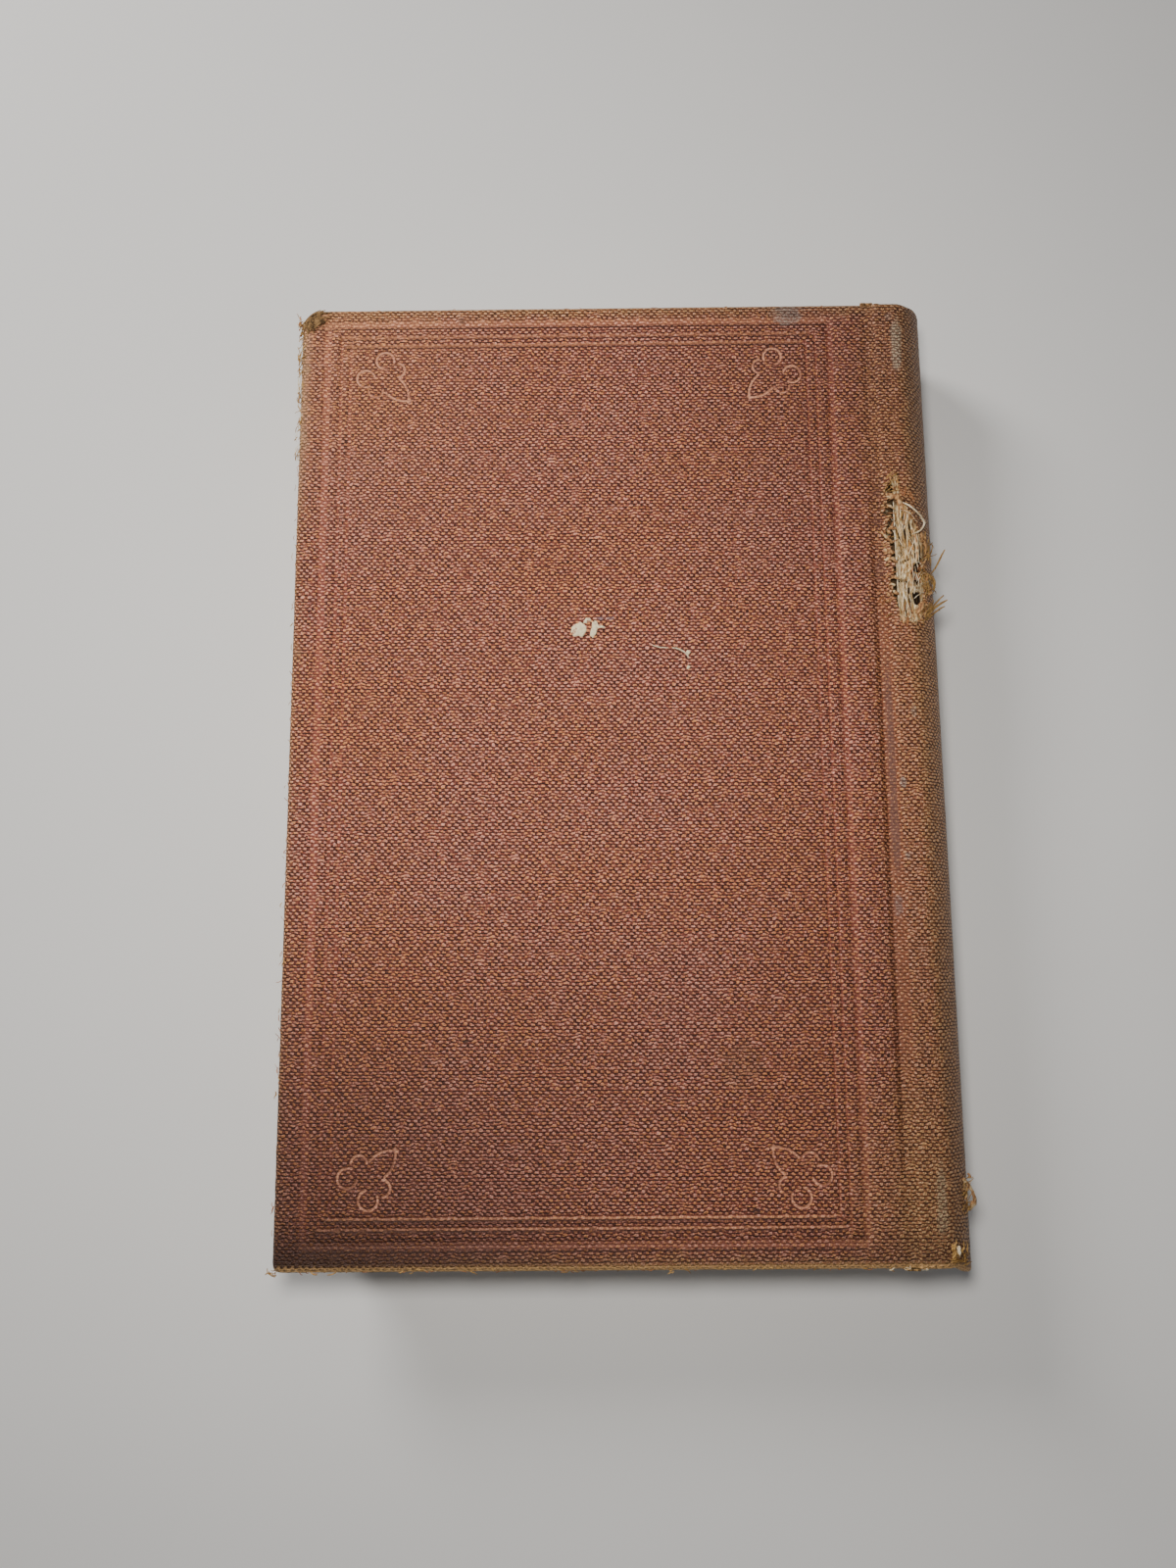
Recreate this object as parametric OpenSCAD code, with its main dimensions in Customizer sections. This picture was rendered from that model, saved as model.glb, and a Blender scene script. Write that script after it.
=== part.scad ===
// Old cloth-covered hardback book, lying on its front cover with the back cover uppermost.
// The head of the book is towards +Y, the spine towards +X, and the floor is at Z = 0.

/* [Text block] */
// Thickness of the sewn leaves, squeezed shut
block_t = 14.5; // [10:0.5:30]
// Thickness of the loose flyleaf at each end
leaf_t = 0.15; // [0.1:0.05:0.3]
// Air between a flyleaf and the lining of its cover
leaf_gap = 0.15; // [0.1:0.05:0.3]
// How far the covers stand out beyond the leaves at head, tail and fore-edge
square = 3; // [2:0.5:5]
// Depth of the hollow in the fore-edge, left by rounding the back
fore_hollow = 3; // [1:0.5:4]

/* [Covers] */
// Height of the covers from head to tail
cover_h = 178; // [150:1:230]
// Width of a cover from its fore-edge to the joint line
cover_w = 110; // [90:1:150]
// Thickness of the millboard in a cover
board_t = 2.5; // [2:0.1:3.5]
// Thickness of the covering cloth
cloth_t = 0.4; // [0.3:0.05:0.5]
// Thickness of the paper lining pasted inside a cover
paste_t = 0.15; // [0.1:0.05:0.3]
// Width of the cloth turned in over the edges of a board
turnin_w = 14; // [9:1:20]
// Radius that wear has given the long edges of a board
edge_r = 0.6; // [0.3:0.1:0.9]
// Radius of a sound corner of a cover
corner_r = 1.4; // [1:0.2:3]
// Radius of the worn corner at the head of the back cover
worn_r = 4.6; // [2:0.2:6]

/* [Joints] */
// Distance from the joint line back to the spine edge of a board
board_back = 1.7; // [1.2:0.1:3]
// Depth to which the cloth is pressed into a joint
joint_depth = 0.8; // [0.5:0.1:1]
// Half the slit between the cloth of a cover and the cloth of the spine
joint_slit = 0.15; // [0.1:0.05:0.25]
// Width of open-weave lining pasted on each board
flap_w = 20; // [12:1:30]
// Distance between the open-weave lining and the turned-in cloth at head and tail
flap_clear = 1; // [0.5:0.5:5]

/* [Spine] */
// How far the rounded spine stands out beyond the joint line
spine_out = 12; // [11:0.5:13]
// Distance from the joint line to the start of the level ridge
ridge_in = 2.2; // [2:0.1:2.6]
// Distance from the joint line to where the ridge begins to fall
ridge_end = 4.6; // [3.6:0.2:5]
// Radius of the outer fall of the ridge
ridge_r = 4; // [3.5:0.1:4.5]
// Radius of the inner roll of the ridge, down into the joint
roll_r = 1.5; // [1.3:0.1:1.9]
// Thickness of the card strip that stiffens the spine cloth
inlay_t = 0.7; // [0.5:0.1:0.9]
// Hollow between the card strip and the linings of the back
hollow_t = 0.5; // [0.45:0.05:0.6]
// Thickness of the paper lining on the back of the leaves
lining_t = 0.3; // [0.2:0.05:0.4]
// Thickness of the open-weave lining glued to the back of the leaves
mull_t = 0.25; // [0.2:0.05:0.3]
// Radius of the bent-over shoulder of the leaves
shoulder_r = 0.4; // [0.2:0.1:0.5]
// Distance from the joint line to the face of the shoulder
ledge_in = 0.9; // [0.7:0.1:1.4]

/* [Sewing] */
// Diameter of a sewing cord let into the back
cord_d = 1; // [0.8:0.1:1.4]
// Diameter of a linking thread at head or tail
thread_d = 0.5; // [0.4:0.1:0.8]
// Slack round a cord or thread in its saw cut
kerf_slack = 0.05; // [0.03:0.01:0.1]
// Distance between neighbouring cords
cord_pitch = 48; // [35:1:60]
// Distance of a linking thread from the end of the leaves
thread_in = 10; // [6:0.5:10.5]

/* [Stamping] */
// Depth of the blind-stamped lines and ornaments
stamp_depth = 0.12; // [0.05:0.01:0.2]
// Margin from the head and tail of a cover to the middle of the broad line
stamp_end_margin = 3.85; // [3:0.05:8]
// Margin from the fore-edge of a cover to the middle of the broad line
stamp_fore_margin = 5.1; // [3:0.1:8]
// Margin from the joint line to the middle of the broad line
stamp_joint_margin = 8; // [6:0.5:14]
// Distance by which the stamp sits too near the head
stamp_lift = 0.55; // [0:0.05:1.5]
// Width of the broad stamped line
broad_w = 1.4; // [1:0.1:2]
// Width of a thin stamped line
thin_w = 0.4; // [0.3:0.05:0.6]
// Distance from the broad line to the first thin line
thin_first = 2.75; // [2:0.05:4]
// Distance between the two thin lines
thin_step = 1.8; // [1.2:0.1:3]
// Distance from the inner thin line to the curls of a corner ornament
fleuron_in = 4.75; // [4:0.05:9]
// Length of a corner ornament from its curls to the tip of its leaf
fleuron_len = 9.2; // [6:0.2:12]

/* [Tear] */
// Distance of the tear's middle from mid-height towards the head
tear_y = 39.3; // [-50:0.1:50]

/* [Hidden] */

arc_n = 6;
back_n = 18;
cut = 1;

// Heights are counted outwards from the middle of the leaves, up for the back cover.
leaves_h = block_t / 2;
leaf_top = leaves_h + leaf_t;
board_in = leaf_top + leaf_gap + paste_t + cloth_t;
board_out = board_in + board_t;
half_t = board_out + cloth_t;

// Distances along X are counted from the joint line, out towards the spine.
board_fore = -cover_w + cloth_t;
leaves_fore = -cover_w + square;
board_half_h = cover_h / 2 - cloth_t;
leaves_half_h = cover_h / 2 - square;
mull_half_h = cover_h / 2 - turnin_w - flap_clear;

// The spine is one large arc between two ridges; each layer lies a depth inside the cloth.
ridge_h = half_t - ridge_r;
fall = spine_out - ridge_r - ridge_end;
back_r = (ridge_h * ridge_h + fall * fall) / (2 * fall) + ridge_r;
back_x = spine_out - back_r;
back_a = asin(ridge_h / (back_r - ridge_r));
inlay_d = cloth_t;
hollow_d = inlay_d + inlay_t;
lining_d = hollow_d + hollow_t;
mull_d = lining_d + lining_t;
leaves_d = mull_d + mull_t;
ledge_r = half_t - leaves_d - shoulder_r - leaves_h;
floor_h = half_t - joint_depth;

// The broad stamped line, as the limits of its middle.
stamp_x0 = -cover_w + stamp_fore_margin;
stamp_x1 = -stamp_joint_margin;
stamp_y0 = -cover_h / 2 + stamp_end_margin;
stamp_y1 = cover_h / 2 - stamp_end_margin;
inner_line = thin_first + thin_step;

function reversed(p) = [for (i = [len(p) - 1:-1:0]) p[i]];

function arc(x, y, r, a0, a1, n) =
  [for (i = [0:n]) let (a = a0 + (a1 - a0) * i / n) [x + r * cos(a), y + r * sin(a)]];

// A section through the rounded back, from the upper ridge to the lower one, a depth d inside.
function back_path(d) = concat(
  arc(ridge_end, ridge_h, ridge_r - d, 90, back_a, arc_n),
  [for (i = [1:back_n - 1]) let (a = back_a - 2 * back_a * i / back_n)
    [back_x + (back_r - d) * cos(a), (back_r - d) * sin(a)]],
  arc(ridge_end, -ridge_h, ridge_r - d, -back_a, -90, arc_n)
);

// The same section with level ends that reach in to x0.
function spine_path(d, x0) = concat([[x0, half_t - d]], back_path(d), [[x0, d - half_t]]);

// The spine cloth's own section also rolls down into each joint.
function roll_path(d) =
  let (r = roll_r - d, rise = roll_r - joint_depth - d, a = 180 - asin(rise / r))
  concat([[joint_slit, floor_h - d]], arc(ridge_in, half_t - roll_r, r, a, 90, arc_n));

function flipped(p) = [for (q = p) [q[0], -q[1]]];

function cloth_path(d) = concat(roll_path(d), back_path(d), reversed(flipped(roll_path(d))));

// The leaves bend out into a shoulder beside each joint.
function shoulder_path() =
  let (tip = arc(ledge_in + shoulder_r, half_t - leaves_d - shoulder_r, shoulder_r, 180, 90, arc_n))
  concat(
    arc(ledge_in - ledge_r, leaves_h + ledge_r, ledge_r, 270, 360, arc_n),
    [for (i = [1:arc_n]) tip[i]]
  );

function rounded_box(x0, x1, y0, y1, r) = concat(
  arc(x1 - r[0], y1 - r[0], r[0], 0, 90, arc_n),
  arc(x0 + r[1], y1 - r[1], r[1], 90, 180, arc_n),
  arc(x0 + r[2], y0 + r[2], r[2], 180, 270, arc_n),
  arc(x1 - r[3], y0 + r[3], r[3], 270, 360, arc_n)
);

// A section in X and height, drawn out along the book's height.
module along_y(length) {
  rotate([90, 0, 0]) linear_extrude(height = length, center = true) children();
}

module in_place() {
  translate([(cover_w - spine_out) / 2, 0, half_t]) children();
}

module front_side() {
  mirror([0, 0, 1]) children();
}

module ribbon(outer, inner, length) {
  along_y(length) polygon(concat(outer, reversed(inner)));
}

module slab(x0, x1, half_y, h0, h1) {
  translate([x0, -half_y, h0]) cube([x1 - x0, 2 * half_y, h1 - h0]);
}

// A board grown by g all round: rounded edges seen from the end, the side and the face.
module board_form(g, head_fore_r) {
  x0 = board_fore - g;
  x1 = -board_back + g;
  y = board_half_h + g;
  r = edge_r + g;
  rs = [r, r, r, r];
  intersection() {
    along_y(2 * y + 2 * cut) polygon(rounded_box(x0, x1, board_in - g, board_out + g, rs));
    rotate([90, 0, 90]) translate([0, 0, x0 - cut]) linear_extrude(height = x1 - x0 + 2 * cut)
      polygon(rounded_box(-y, y, board_in - g, board_out + g, rs));
    translate([0, 0, board_in - g - cut]) linear_extrude(height = board_t + 2 * g + 2 * cut)
      polygon(rounded_box(x0, x1, -y, y, [r, head_fore_r, corner_r, r]));
  }
}

// The area inside the turned-in cloth, between two heights.
module window(h0, h1, inset) {
  slab(-cover_w + turnin_w + inset, cut, cover_h / 2 - turnin_w - inset, h0, h1);
}

module mull_flap() {
  slab(-flap_w, -board_back, mull_half_h, board_in - mull_t, board_in);
}

// The paper lining steps down from the board on to the turned-in cloth and the flap.
module pastedown() {
  level = board_in - cloth_t - paste_t;
  difference() {
    slab(leaves_fore, -board_back, leaves_half_h, level, board_in);
    difference() {
      slab(-cover_w, cut, cover_h, board_in - cloth_t, board_in + cut);
      window(board_in - 2 * cut, board_in + 2 * cut, 0);
    }
    mull_flap();
    intersection() {
      window(level - cut, board_in - paste_t, paste_t);
      slab(-cover_w, -flap_w - paste_t, cover_h, level - cut, board_in);
    }
    window(level - cut, board_in - mull_t - paste_t, paste_t);
  }
}

// One rectangular stamped line, w wide and d inside the broad line.
module stamped_frame(d, w) {
  difference() {
    stamped_area(d - w / 2);
    stamped_area(d + w / 2);
  }
}

module stamped_area(d) {
  translate([stamp_x0 + d, stamp_y0 + d])
    square([stamp_x1 - stamp_x0 - 2 * d, stamp_y1 - stamp_y0 - 2 * d]);
}

module stroke(x, y, r, a0, a1) {
  outer = arc(x, y, r + thin_w / 2, a0, a1, arc_n);
  inner = arc(x, y, r - thin_w / 2, a0, a1, arc_n);
  polygon(concat(outer, reversed(inner)));
}

// A leaf that points along +X, with a side lobe and a curl on each side behind it.
module fleuron() {
  unit = fleuron_len / 9.2;
  for (s = [0, 1]) mirror([0, s]) {
    stroke(5.2 * unit, -3.1 * unit, 5 * unit, 34, 96);
    stroke(3.1 * unit, 2.9 * unit, 1.4 * unit, -40, 130);
    stroke(0, 2.6 * unit, 1.7 * unit, 20, 300);
  }
}

module corner_fleurons() {
  x0 = stamp_x0 + inner_line + fleuron_in;
  x1 = stamp_x1 - inner_line - fleuron_in;
  y0 = stamp_y0 + inner_line + fleuron_in;
  y1 = stamp_y1 - inner_line - fleuron_in;
  translate([x0, y0]) rotate(45) fleuron();
  translate([x1, y0]) rotate(135) fleuron();
  translate([x1, y1]) rotate(225) fleuron();
  translate([x0, y1]) rotate(315) fleuron();
}

module stamp() {
  translate([0, stamp_lift, half_t - stamp_depth]) linear_extrude(height = stamp_depth + cut) {
    stamped_frame(0, broad_w);
    stamped_frame(thin_first, thin_w);
    stamped_frame(inner_line, thin_w);
    corner_fleurons();
  }
}

// The strip of cloth that goes over the board's spine edge and down into the joint.
module joint_strip() {
  r = edge_r + cloth_t;
  x = -board_back - edge_r;
  h = board_out - edge_r;
  start = acos(edge_r / r);
  end = asin((floor_h - h) / r);
  outer = concat(arc(x, h, r, start, end, arc_n), [[-joint_slit, floor_h]]);
  inner = [[-board_back, floor_h - cloth_t], [-joint_slit, floor_h - cloth_t]];
  ribbon(outer, inner, cover_h);
}

module cover_cloth(head_fore_r) {
  difference() {
    union() {
      difference() {
        board_form(cloth_t, head_fore_r);
        slab(-board_back, cover_w, cover_h, 0, 2 * half_t);
      }
      joint_strip();
    }
    board_form(0, head_fore_r - cloth_t);
    window(0, board_in + edge_r, 0);
    stamp();
  }
}

// Places a hole seen from above, with its points counted from the ridge and the tear's middle.
module torn_through() {
  translate([ridge_in, tear_y, ridge_h - ridge_r]) linear_extrude(height = 3 * ridge_r) children();
}

// Ragged hole where the spine cloth is torn away.
module tear() {
  torn_through() polygon([
    [1.2, 14.9], [0.4, 13.1], [-0.6, 10.7], [0.2, 10.3], [-0.3, 8.7], [-1, 6.9], [0, 6.2], [-0.3, 4.2],
    [-0.7, 1.7], [0.3, 0.2], [0, -1.8], [0.6, -3.3], [0.2, -6.3], [0.1, -9.3], [0.7, -11.3], [1, -13.8],
    [2, -14.3], [2.8, -14.9], [4, -14.1], [5.2, -12.9], [6.1, -10.3], [5.8, -7.8], [6.8, -5.8], [6.2, -3.3],
    [7, -0.3], [6.2, 3.1], [5, 4.9], [4, 6.7], [3.1, 8.3], [2.2, 9.3], [1.7, 11.1], [2, 13.1]
  ]);
}

// Cracks where the card strip under the tear is broken through.
module cracks() {
  torn_through() {
    polygon([[4.8, 2.7], [4.6, -1.3], [4.9, -4.8], [5.4, -5.1], [5.6, -1.3], [5.3, 2.3]]);
    polygon([[3.6, -4.7], [4.2, -6.7], [4.6, -5.9], [4.4, -3.3], [4, -3.1]]);
    polygon([[3.7, -8.7], [4.1, -10.5], [4.8, -10.1], [4.7, -8.5]]);
  }
}

// Saw cut across the back of the leaves, for a cord or thread of diameter d.
module kerf(y, d) {
  w = d + 2 * kerf_slack;
  translate([back_x, y, 0]) rotate([90, 0, 0]) rotate([0, 0, -back_a])
    rotate_extrude(angle = 2 * back_a, $fn = 72)
      translate([back_r - leaves_d - w, -w / 2]) square([w + cut, w]);
}

module cord(y, d) {
  reach = back_a - 2;
  in_place() translate([back_x, y, 0]) rotate([90, 0, 0]) rotate([0, 0, -reach])
    rotate_extrude(angle = 2 * reach, $fn = 72)
      translate([back_r - leaves_d - d / 2 - kerf_slack, 0]) circle(d = d, $fn = 16);
}

module text_block() {
  fore_r = (leaves_h * leaves_h + fore_hollow * fore_hollow) / (2 * fore_hollow);
  fore_a = asin(leaves_h / fore_r);
  section = concat(
    arc(leaves_fore + fore_hollow - fore_r, 0, fore_r, -fore_a, fore_a, 2 * arc_n),
    shoulder_path(),
    back_path(leaves_d),
    reversed(flipped(shoulder_path()))
  );
  color("wheat") in_place() difference() {
    along_y(2 * leaves_half_h) polygon(section);
    for (i = [-1:1]) kerf(i * cord_pitch, cord_d);
    for (s = [-1, 1]) kerf(s * (leaves_half_h - thread_in), thread_d);
  }
}

module flyleaf() {
  slab(leaves_fore, ledge_in - ledge_r, leaves_half_h, leaves_h, leaf_top);
}

module back_flyleaf() {
  color("cornsilk") in_place() flyleaf();
}

module front_flyleaf() {
  color("cornsilk") in_place() front_side() flyleaf();
}

module head_cord() {
  color("tan") cord(cord_pitch, cord_d);
}

module middle_cord() {
  color("tan") cord(0, cord_d);
}

module tail_cord() {
  color("tan") cord(-cord_pitch, cord_d);
}

module head_thread() {
  color("ivory") cord(leaves_half_h - thread_in, thread_d);
}

module tail_thread() {
  color("ivory") cord(thread_in - leaves_half_h, thread_d);
}

module spine_mull() {
  x0 = ledge_in + shoulder_r;
  color("beige") in_place()
    ribbon(spine_path(mull_d, x0), spine_path(leaves_d, x0), 2 * mull_half_h);
}

module spine_lining() {
  color("burlywood") in_place()
    ribbon(spine_path(lining_d, ridge_in), spine_path(mull_d, ridge_in), 2 * leaves_half_h);
}

module spine_inlay() {
  color("palegoldenrod") in_place() difference() {
    ribbon(spine_path(inlay_d, ridge_in), spine_path(hollow_d, ridge_in), 2 * board_half_h);
    cracks();
  }
}

module spine_cloth() {
  turned_d = hollow_d + cloth_t;
  color("peru") in_place() difference() {
    union() {
      ribbon(cloth_path(0), cloth_path(cloth_t), cover_h);
      for (s = [-1, 1]) {
        translate([0, s * (cover_h - cloth_t) / 2, 0])
          ribbon(spine_path(cloth_t / 2, ridge_in), spine_path(turned_d, ridge_in), cloth_t);
        translate([0, s * (cover_h - turnin_w) / 2, 0])
          ribbon(spine_path(hollow_d, ridge_in), spine_path(turned_d, ridge_in), turnin_w);
      }
    }
    tear();
  }
}

module back_board() {
  color("darkkhaki") in_place() board_form(0, worn_r - cloth_t);
}

module back_mull_flap() {
  color("beige") in_place() mull_flap();
}

module back_pastedown() {
  color("cornsilk") in_place() pastedown();
}

module back_cloth() {
  color("sienna") in_place() cover_cloth(worn_r);
}

module front_board() {
  color("darkkhaki") in_place() front_side() board_form(0, corner_r);
}

module front_mull_flap() {
  color("beige") in_place() front_side() mull_flap();
}

module front_pastedown() {
  color("cornsilk") in_place() front_side() pastedown();
}

module front_cloth() {
  color("sienna") in_place() front_side() cover_cloth(corner_r + cloth_t);
}

text_block();
back_flyleaf();
front_flyleaf();
head_cord();
middle_cord();
tail_cord();
head_thread();
tail_thread();
spine_mull();
spine_lining();
spine_inlay();
spine_cloth();
back_board();
back_mull_flap();
back_pastedown();
back_cloth();
front_board();
front_mull_flap();
front_pastedown();
front_cloth();
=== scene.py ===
import math
import random

import bmesh
import bpy
from mathutils import Matrix, Vector, noise


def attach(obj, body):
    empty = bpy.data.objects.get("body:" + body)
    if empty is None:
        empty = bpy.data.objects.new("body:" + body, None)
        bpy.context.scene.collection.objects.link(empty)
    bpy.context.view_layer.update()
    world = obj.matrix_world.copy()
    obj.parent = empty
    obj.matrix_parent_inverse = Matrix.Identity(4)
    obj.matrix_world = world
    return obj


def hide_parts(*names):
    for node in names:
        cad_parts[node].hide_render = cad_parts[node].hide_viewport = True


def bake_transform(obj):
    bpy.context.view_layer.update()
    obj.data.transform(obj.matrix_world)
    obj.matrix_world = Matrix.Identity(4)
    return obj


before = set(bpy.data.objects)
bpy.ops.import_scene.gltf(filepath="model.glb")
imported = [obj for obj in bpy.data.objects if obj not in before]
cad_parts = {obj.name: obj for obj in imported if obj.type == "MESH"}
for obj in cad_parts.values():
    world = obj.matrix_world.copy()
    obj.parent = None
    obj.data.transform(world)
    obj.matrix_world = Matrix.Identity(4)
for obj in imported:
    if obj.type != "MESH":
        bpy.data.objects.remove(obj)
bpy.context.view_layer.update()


# Leaves of the book, sewn in gatherings and squeezed shut, their edges cut smooth and gone brown.
# Heights run out from the middle of the leaves and widths from the joint line, all in millimetres.
JOINT = 49.0
MIDDLE = 11.0


def place(u, y, h, side=1):
    return Vector(((u + JOINT) / 1000, y / 1000, (MIDDLE + side * h) / 1000))


class Wire:
    """A shader socket: sums and products of wires add Math nodes."""

    def __init__(self, tree, socket=None):
        self.tree = tree
        self.socket = socket

    def node(self, kind, settings, inputs, output=0):
        made = self.tree.nodes.new("ShaderNode" + kind)
        for key, value in settings.items():
            setattr(made, key, value)
        for key, value in inputs.items():
            if isinstance(value, Wire):
                self.tree.links.new(value.socket, made.inputs[key])
            else:
                made.inputs[key].default_value = value
        return Wire(self.tree, made.outputs[output] if made.outputs else None)

    def math(self, operation, *others):
        return self.node("Math", {"operation": operation}, dict(enumerate([self, *others])))

    def __add__(self, other):
        return self.math("ADD", other)

    def __sub__(self, other):
        return self.math("SUBTRACT", other)

    def __mul__(self, other):
        return self.math("MULTIPLY", other)

    def __rsub__(self, other):
        return self.node("Math", {"operation": "SUBTRACT"}, {0: other, 1: self})

    __radd__ = __add__
    __rmul__ = __mul__

    def smooth(self, low, high):
        span = {"Value": self, "From Min": low, "From Max": high}
        return self.node("MapRange", {"interpolation_type": "SMOOTHSTEP"}, span)

    def mix(self, one, other):
        if not isinstance(one, Wire):
            one = (*one, 1)
        if not isinstance(other, Wire):
            other = (*other, 1)
        return self.node("Mix", {"data_type": "RGBA"}, {0: self, 6: one, 7: other}, 2)

    def cloud(self, size, detail=3, seed=0.0, space="3D"):
        shift = (seed * 17, seed * 31, seed * 23)
        moved = self.node("VectorMath", {"operation": "ADD"}, {0: self, 1: shift})
        inputs = {"Vector": moved, "Scale": 1 / size, "Detail": detail}
        return self.node("TexNoise", {"noise_dimensions": space}, inputs)

    def stretch(self, x, y, z):
        return self.node("VectorMath", {"operation": "MULTIPLY"}, {0: self, 1: (x, y, z)})

    def axis(self, index):
        return self.node("SeparateXYZ", {}, {0: self}, index)

    def painted(self, name):
        return self.node("Attribute", {"attribute_name": name}, {}, 2)


def finish(name, gloss, build):
    """A material: build gives its colour, roughness, bump and the bump's depth in millimetres."""
    material = bpy.data.materials.new(name)
    material.use_nodes = True
    tree = material.node_tree
    tree.nodes.clear()
    start = Wire(tree)
    colour, rough, height, depth = build(start)
    bump = start.node("Bump", {}, {"Height": height, "Distance": depth / 1000, "Strength": 1.0})
    inputs = {"Base Color": colour, "Roughness": rough, "Normal": bump}
    inputs["Specular IOR Level"] = gloss
    shader = start.node("BsdfPrincipled", {}, inputs)
    start.node("OutputMaterial", {}, {"Surface": shader})
    return material


def in_object(start):
    """Object coordinates in millimetres."""
    return start.node("TexCoord", {}, {}, 3).stretch(1000, 1000, 1000)


def dress(material, *nodes):
    for node in nodes:
        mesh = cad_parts[node].data
        mesh.materials.clear()
        mesh.materials.append(material)


def leaf_edges(start):
    p = in_object(start)
    pages = p.stretch(0.02, 0.02, 1).cloud(0.16, 3)
    gathers = p.stretch(0.01, 0.01, 1).cloud(1.6, 2, 4.0)
    stain = p.stretch(0.3, 0.3, 1).cloud(6, 4, 9.0)
    height = pages * 0.7 + gathers * 0.9
    colour = pages.smooth(0.35, 0.62).mix((0.34, 0.24, 0.13), (0.7, 0.58, 0.39))
    colour = stain.smooth(0.48, 0.7).mix(colour, (0.42, 0.29, 0.16))
    return colour, 0.8 + pages * 0.1, height, 0.35


dress(finish("Leaf edges", 0.2, leaf_edges), "text_block")


# Flyleaves: the loose half of each folded endpaper, laid paper that has gone brown at its edges.
# Each is pasted along the joint to the first or last leaf of the book.
def endpaper(start):
    p = in_object(start)
    laid = p.stretch(1, 0.03, 1).cloud(0.7, 2)
    pulp = p.cloud(0.5, 5, 2.0)
    fox = p.cloud(5.5, 3, 7.0)
    edge = p.axis(1).math("ABSOLUTE") + p.cloud(9, 3, 5.0) * 14
    colour = pulp.mix((0.66, 0.55, 0.38), (0.76, 0.66, 0.49))
    colour = fox.smooth(0.63, 0.72).mix(colour, (0.48, 0.31, 0.15))
    colour = edge.smooth(76, 96).mix(colour, (0.5, 0.37, 0.22))
    return colour, 0.82 + pulp * 0.1, laid * 0.5 + pulp, 0.05


ENDPAPER = finish("Endpaper", 0.2, endpaper)
dress(ENDPAPER, "back_flyleaf", "front_flyleaf")


# Hemp sewing cords let into the back, and linen linking threads near head and tail.
# The gatherings are sewn round the cords, which lie flush with the backs of the leaves.
def twisted(start):
    p = in_object(start)
    turn = (p.axis(2) * 2.4 + p.axis(1) * 5.0 + p.axis(0) * 1.2).math("SINE")
    fibre = p.cloud(0.25, 4)
    colour = (turn * 0.5 + 0.5).mix((0.3, 0.22, 0.12), (0.58, 0.48, 0.33))
    return colour, 0.8 + fibre * 0.15, turn * 0.6 + fibre, 0.12


TWISTED = finish("Twisted hemp and linen", 0.2, twisted)
dress(TWISTED, "head_cord", "middle_cord", "tail_cord", "head_thread", "tail_thread")


# Open-weave mull glued to the back of the leaves, with a flap pasted on each board.
# The threads run square to each other, stiff and brown with old glue.
def open_weave(start):
    p = in_object(start)
    along = (p.axis(1) * 5.2).math("SINE")
    across = ((p.axis(0) + p.axis(2)) * 5.2).math("SINE")
    weave = along.math("MAXIMUM", across)
    glue = p.cloud(7, 4)
    colour = weave.smooth(0.0, 0.9).mix((0.1, 0.06, 0.03), (0.46, 0.37, 0.24))
    colour = glue.smooth(0.4, 0.62).mix(colour, (0.16, 0.095, 0.045))
    return colour, 0.75 + glue * 0.2, weave, 0.18


dress(finish("Mull", 0.2, open_weave), "spine_mull", "back_mull_flap", "front_mull_flap")


# Brown paper lining pasted over the mull, rubbed down wet so that it creased along the back.
# It shows only at head and tail, inside the hollow of the spine.
# Its colour runs from near-black to dark brown: the brown paper darkened by painted shade for the hollow of
# the spine.
def lining(start):
    p = in_object(start)
    pulp = p.cloud(0.6, 5)
    crease = p.stretch(1, 0.08, 1).cloud(1.1, 2, 3.0)
    colour = (pulp * 0.6 + crease * 0.4).smooth(0.3, 0.7).mix((0.035, 0.02, 0.01), (0.15, 0.09, 0.045))
    return colour, 0.85 + pulp * 0.1, pulp + crease, 0.12


dress(finish("Lining paper", 0.15, lining), "spine_lining")


# Millboard of each cover: rolled sheets of rag and straw pulp, cut to size with a board shear.
# It is grey-brown, in thin layers that show at its edges.
def millboard(start):
    p = in_object(start)
    layers = p.stretch(0.1, 0.1, 1).cloud(0.22, 3)
    flecks = p.cloud(0.35, 4, 6.0)
    colour = (layers * 0.5 + flecks * 0.5).smooth(0.35, 0.66).mix((0.22, 0.15, 0.09), (0.48, 0.37, 0.24))
    return colour, 0.85 + flecks * 0.1, layers + flecks * 0.7, 0.15


dress(finish("Millboard", 0.15, millboard), "back_board", "front_board")


# Pastedowns: the fixed half of each folded endpaper, pasted over the board and the turned-in cloth.
# They cover the flap of mull and stop short of the joint.
dress(ENDPAPER, "back_pastedown", "front_pastedown")


# Covering cloth of each cover: dyed cotton, starched and rolled with a pebble grain, turned in
# over the edges of the board, pressed into the joint and blind-stamped with a frame and corners.
COVER_W = 110.0
HALF_H = 89.0
HALF_T = 11.0
CLOTH = 0.4
BOARD_IN = 8.1
EDGE = 1.0
FLOOR_H = 10.2
CLOTH_END = 0.8
TURN_IN = 14.0
MITRE = 40.0
BOARD_END = -1.5
FALL_START = -2.3
FALL_END = -0.95
CORNER = (0.4, 2.0)
WORN_CORNER = (3.6, 2.8)
GRID_STEP = 2.6
FORE = -COVER_W + EDGE
END = HALF_H - EDGE
STAMP_X = (-104.9, -8.0)
STAMP_Y = (-84.6, 85.7)
STAMP_LINES = ((0.0, 0.7), (2.75, 0.22), (4.55, 0.22))
STAMP_DEPTH = 0.2
STAMP_SOFT = 0.09
CURL_DEPTH = 0.28
FLEURON_X = (-95.6, -17.3)
FLEURON_Y = (-75.3, 76.4)
FLEURON_BACK = 3.8
FLEURON_LEAF = 7.6
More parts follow.
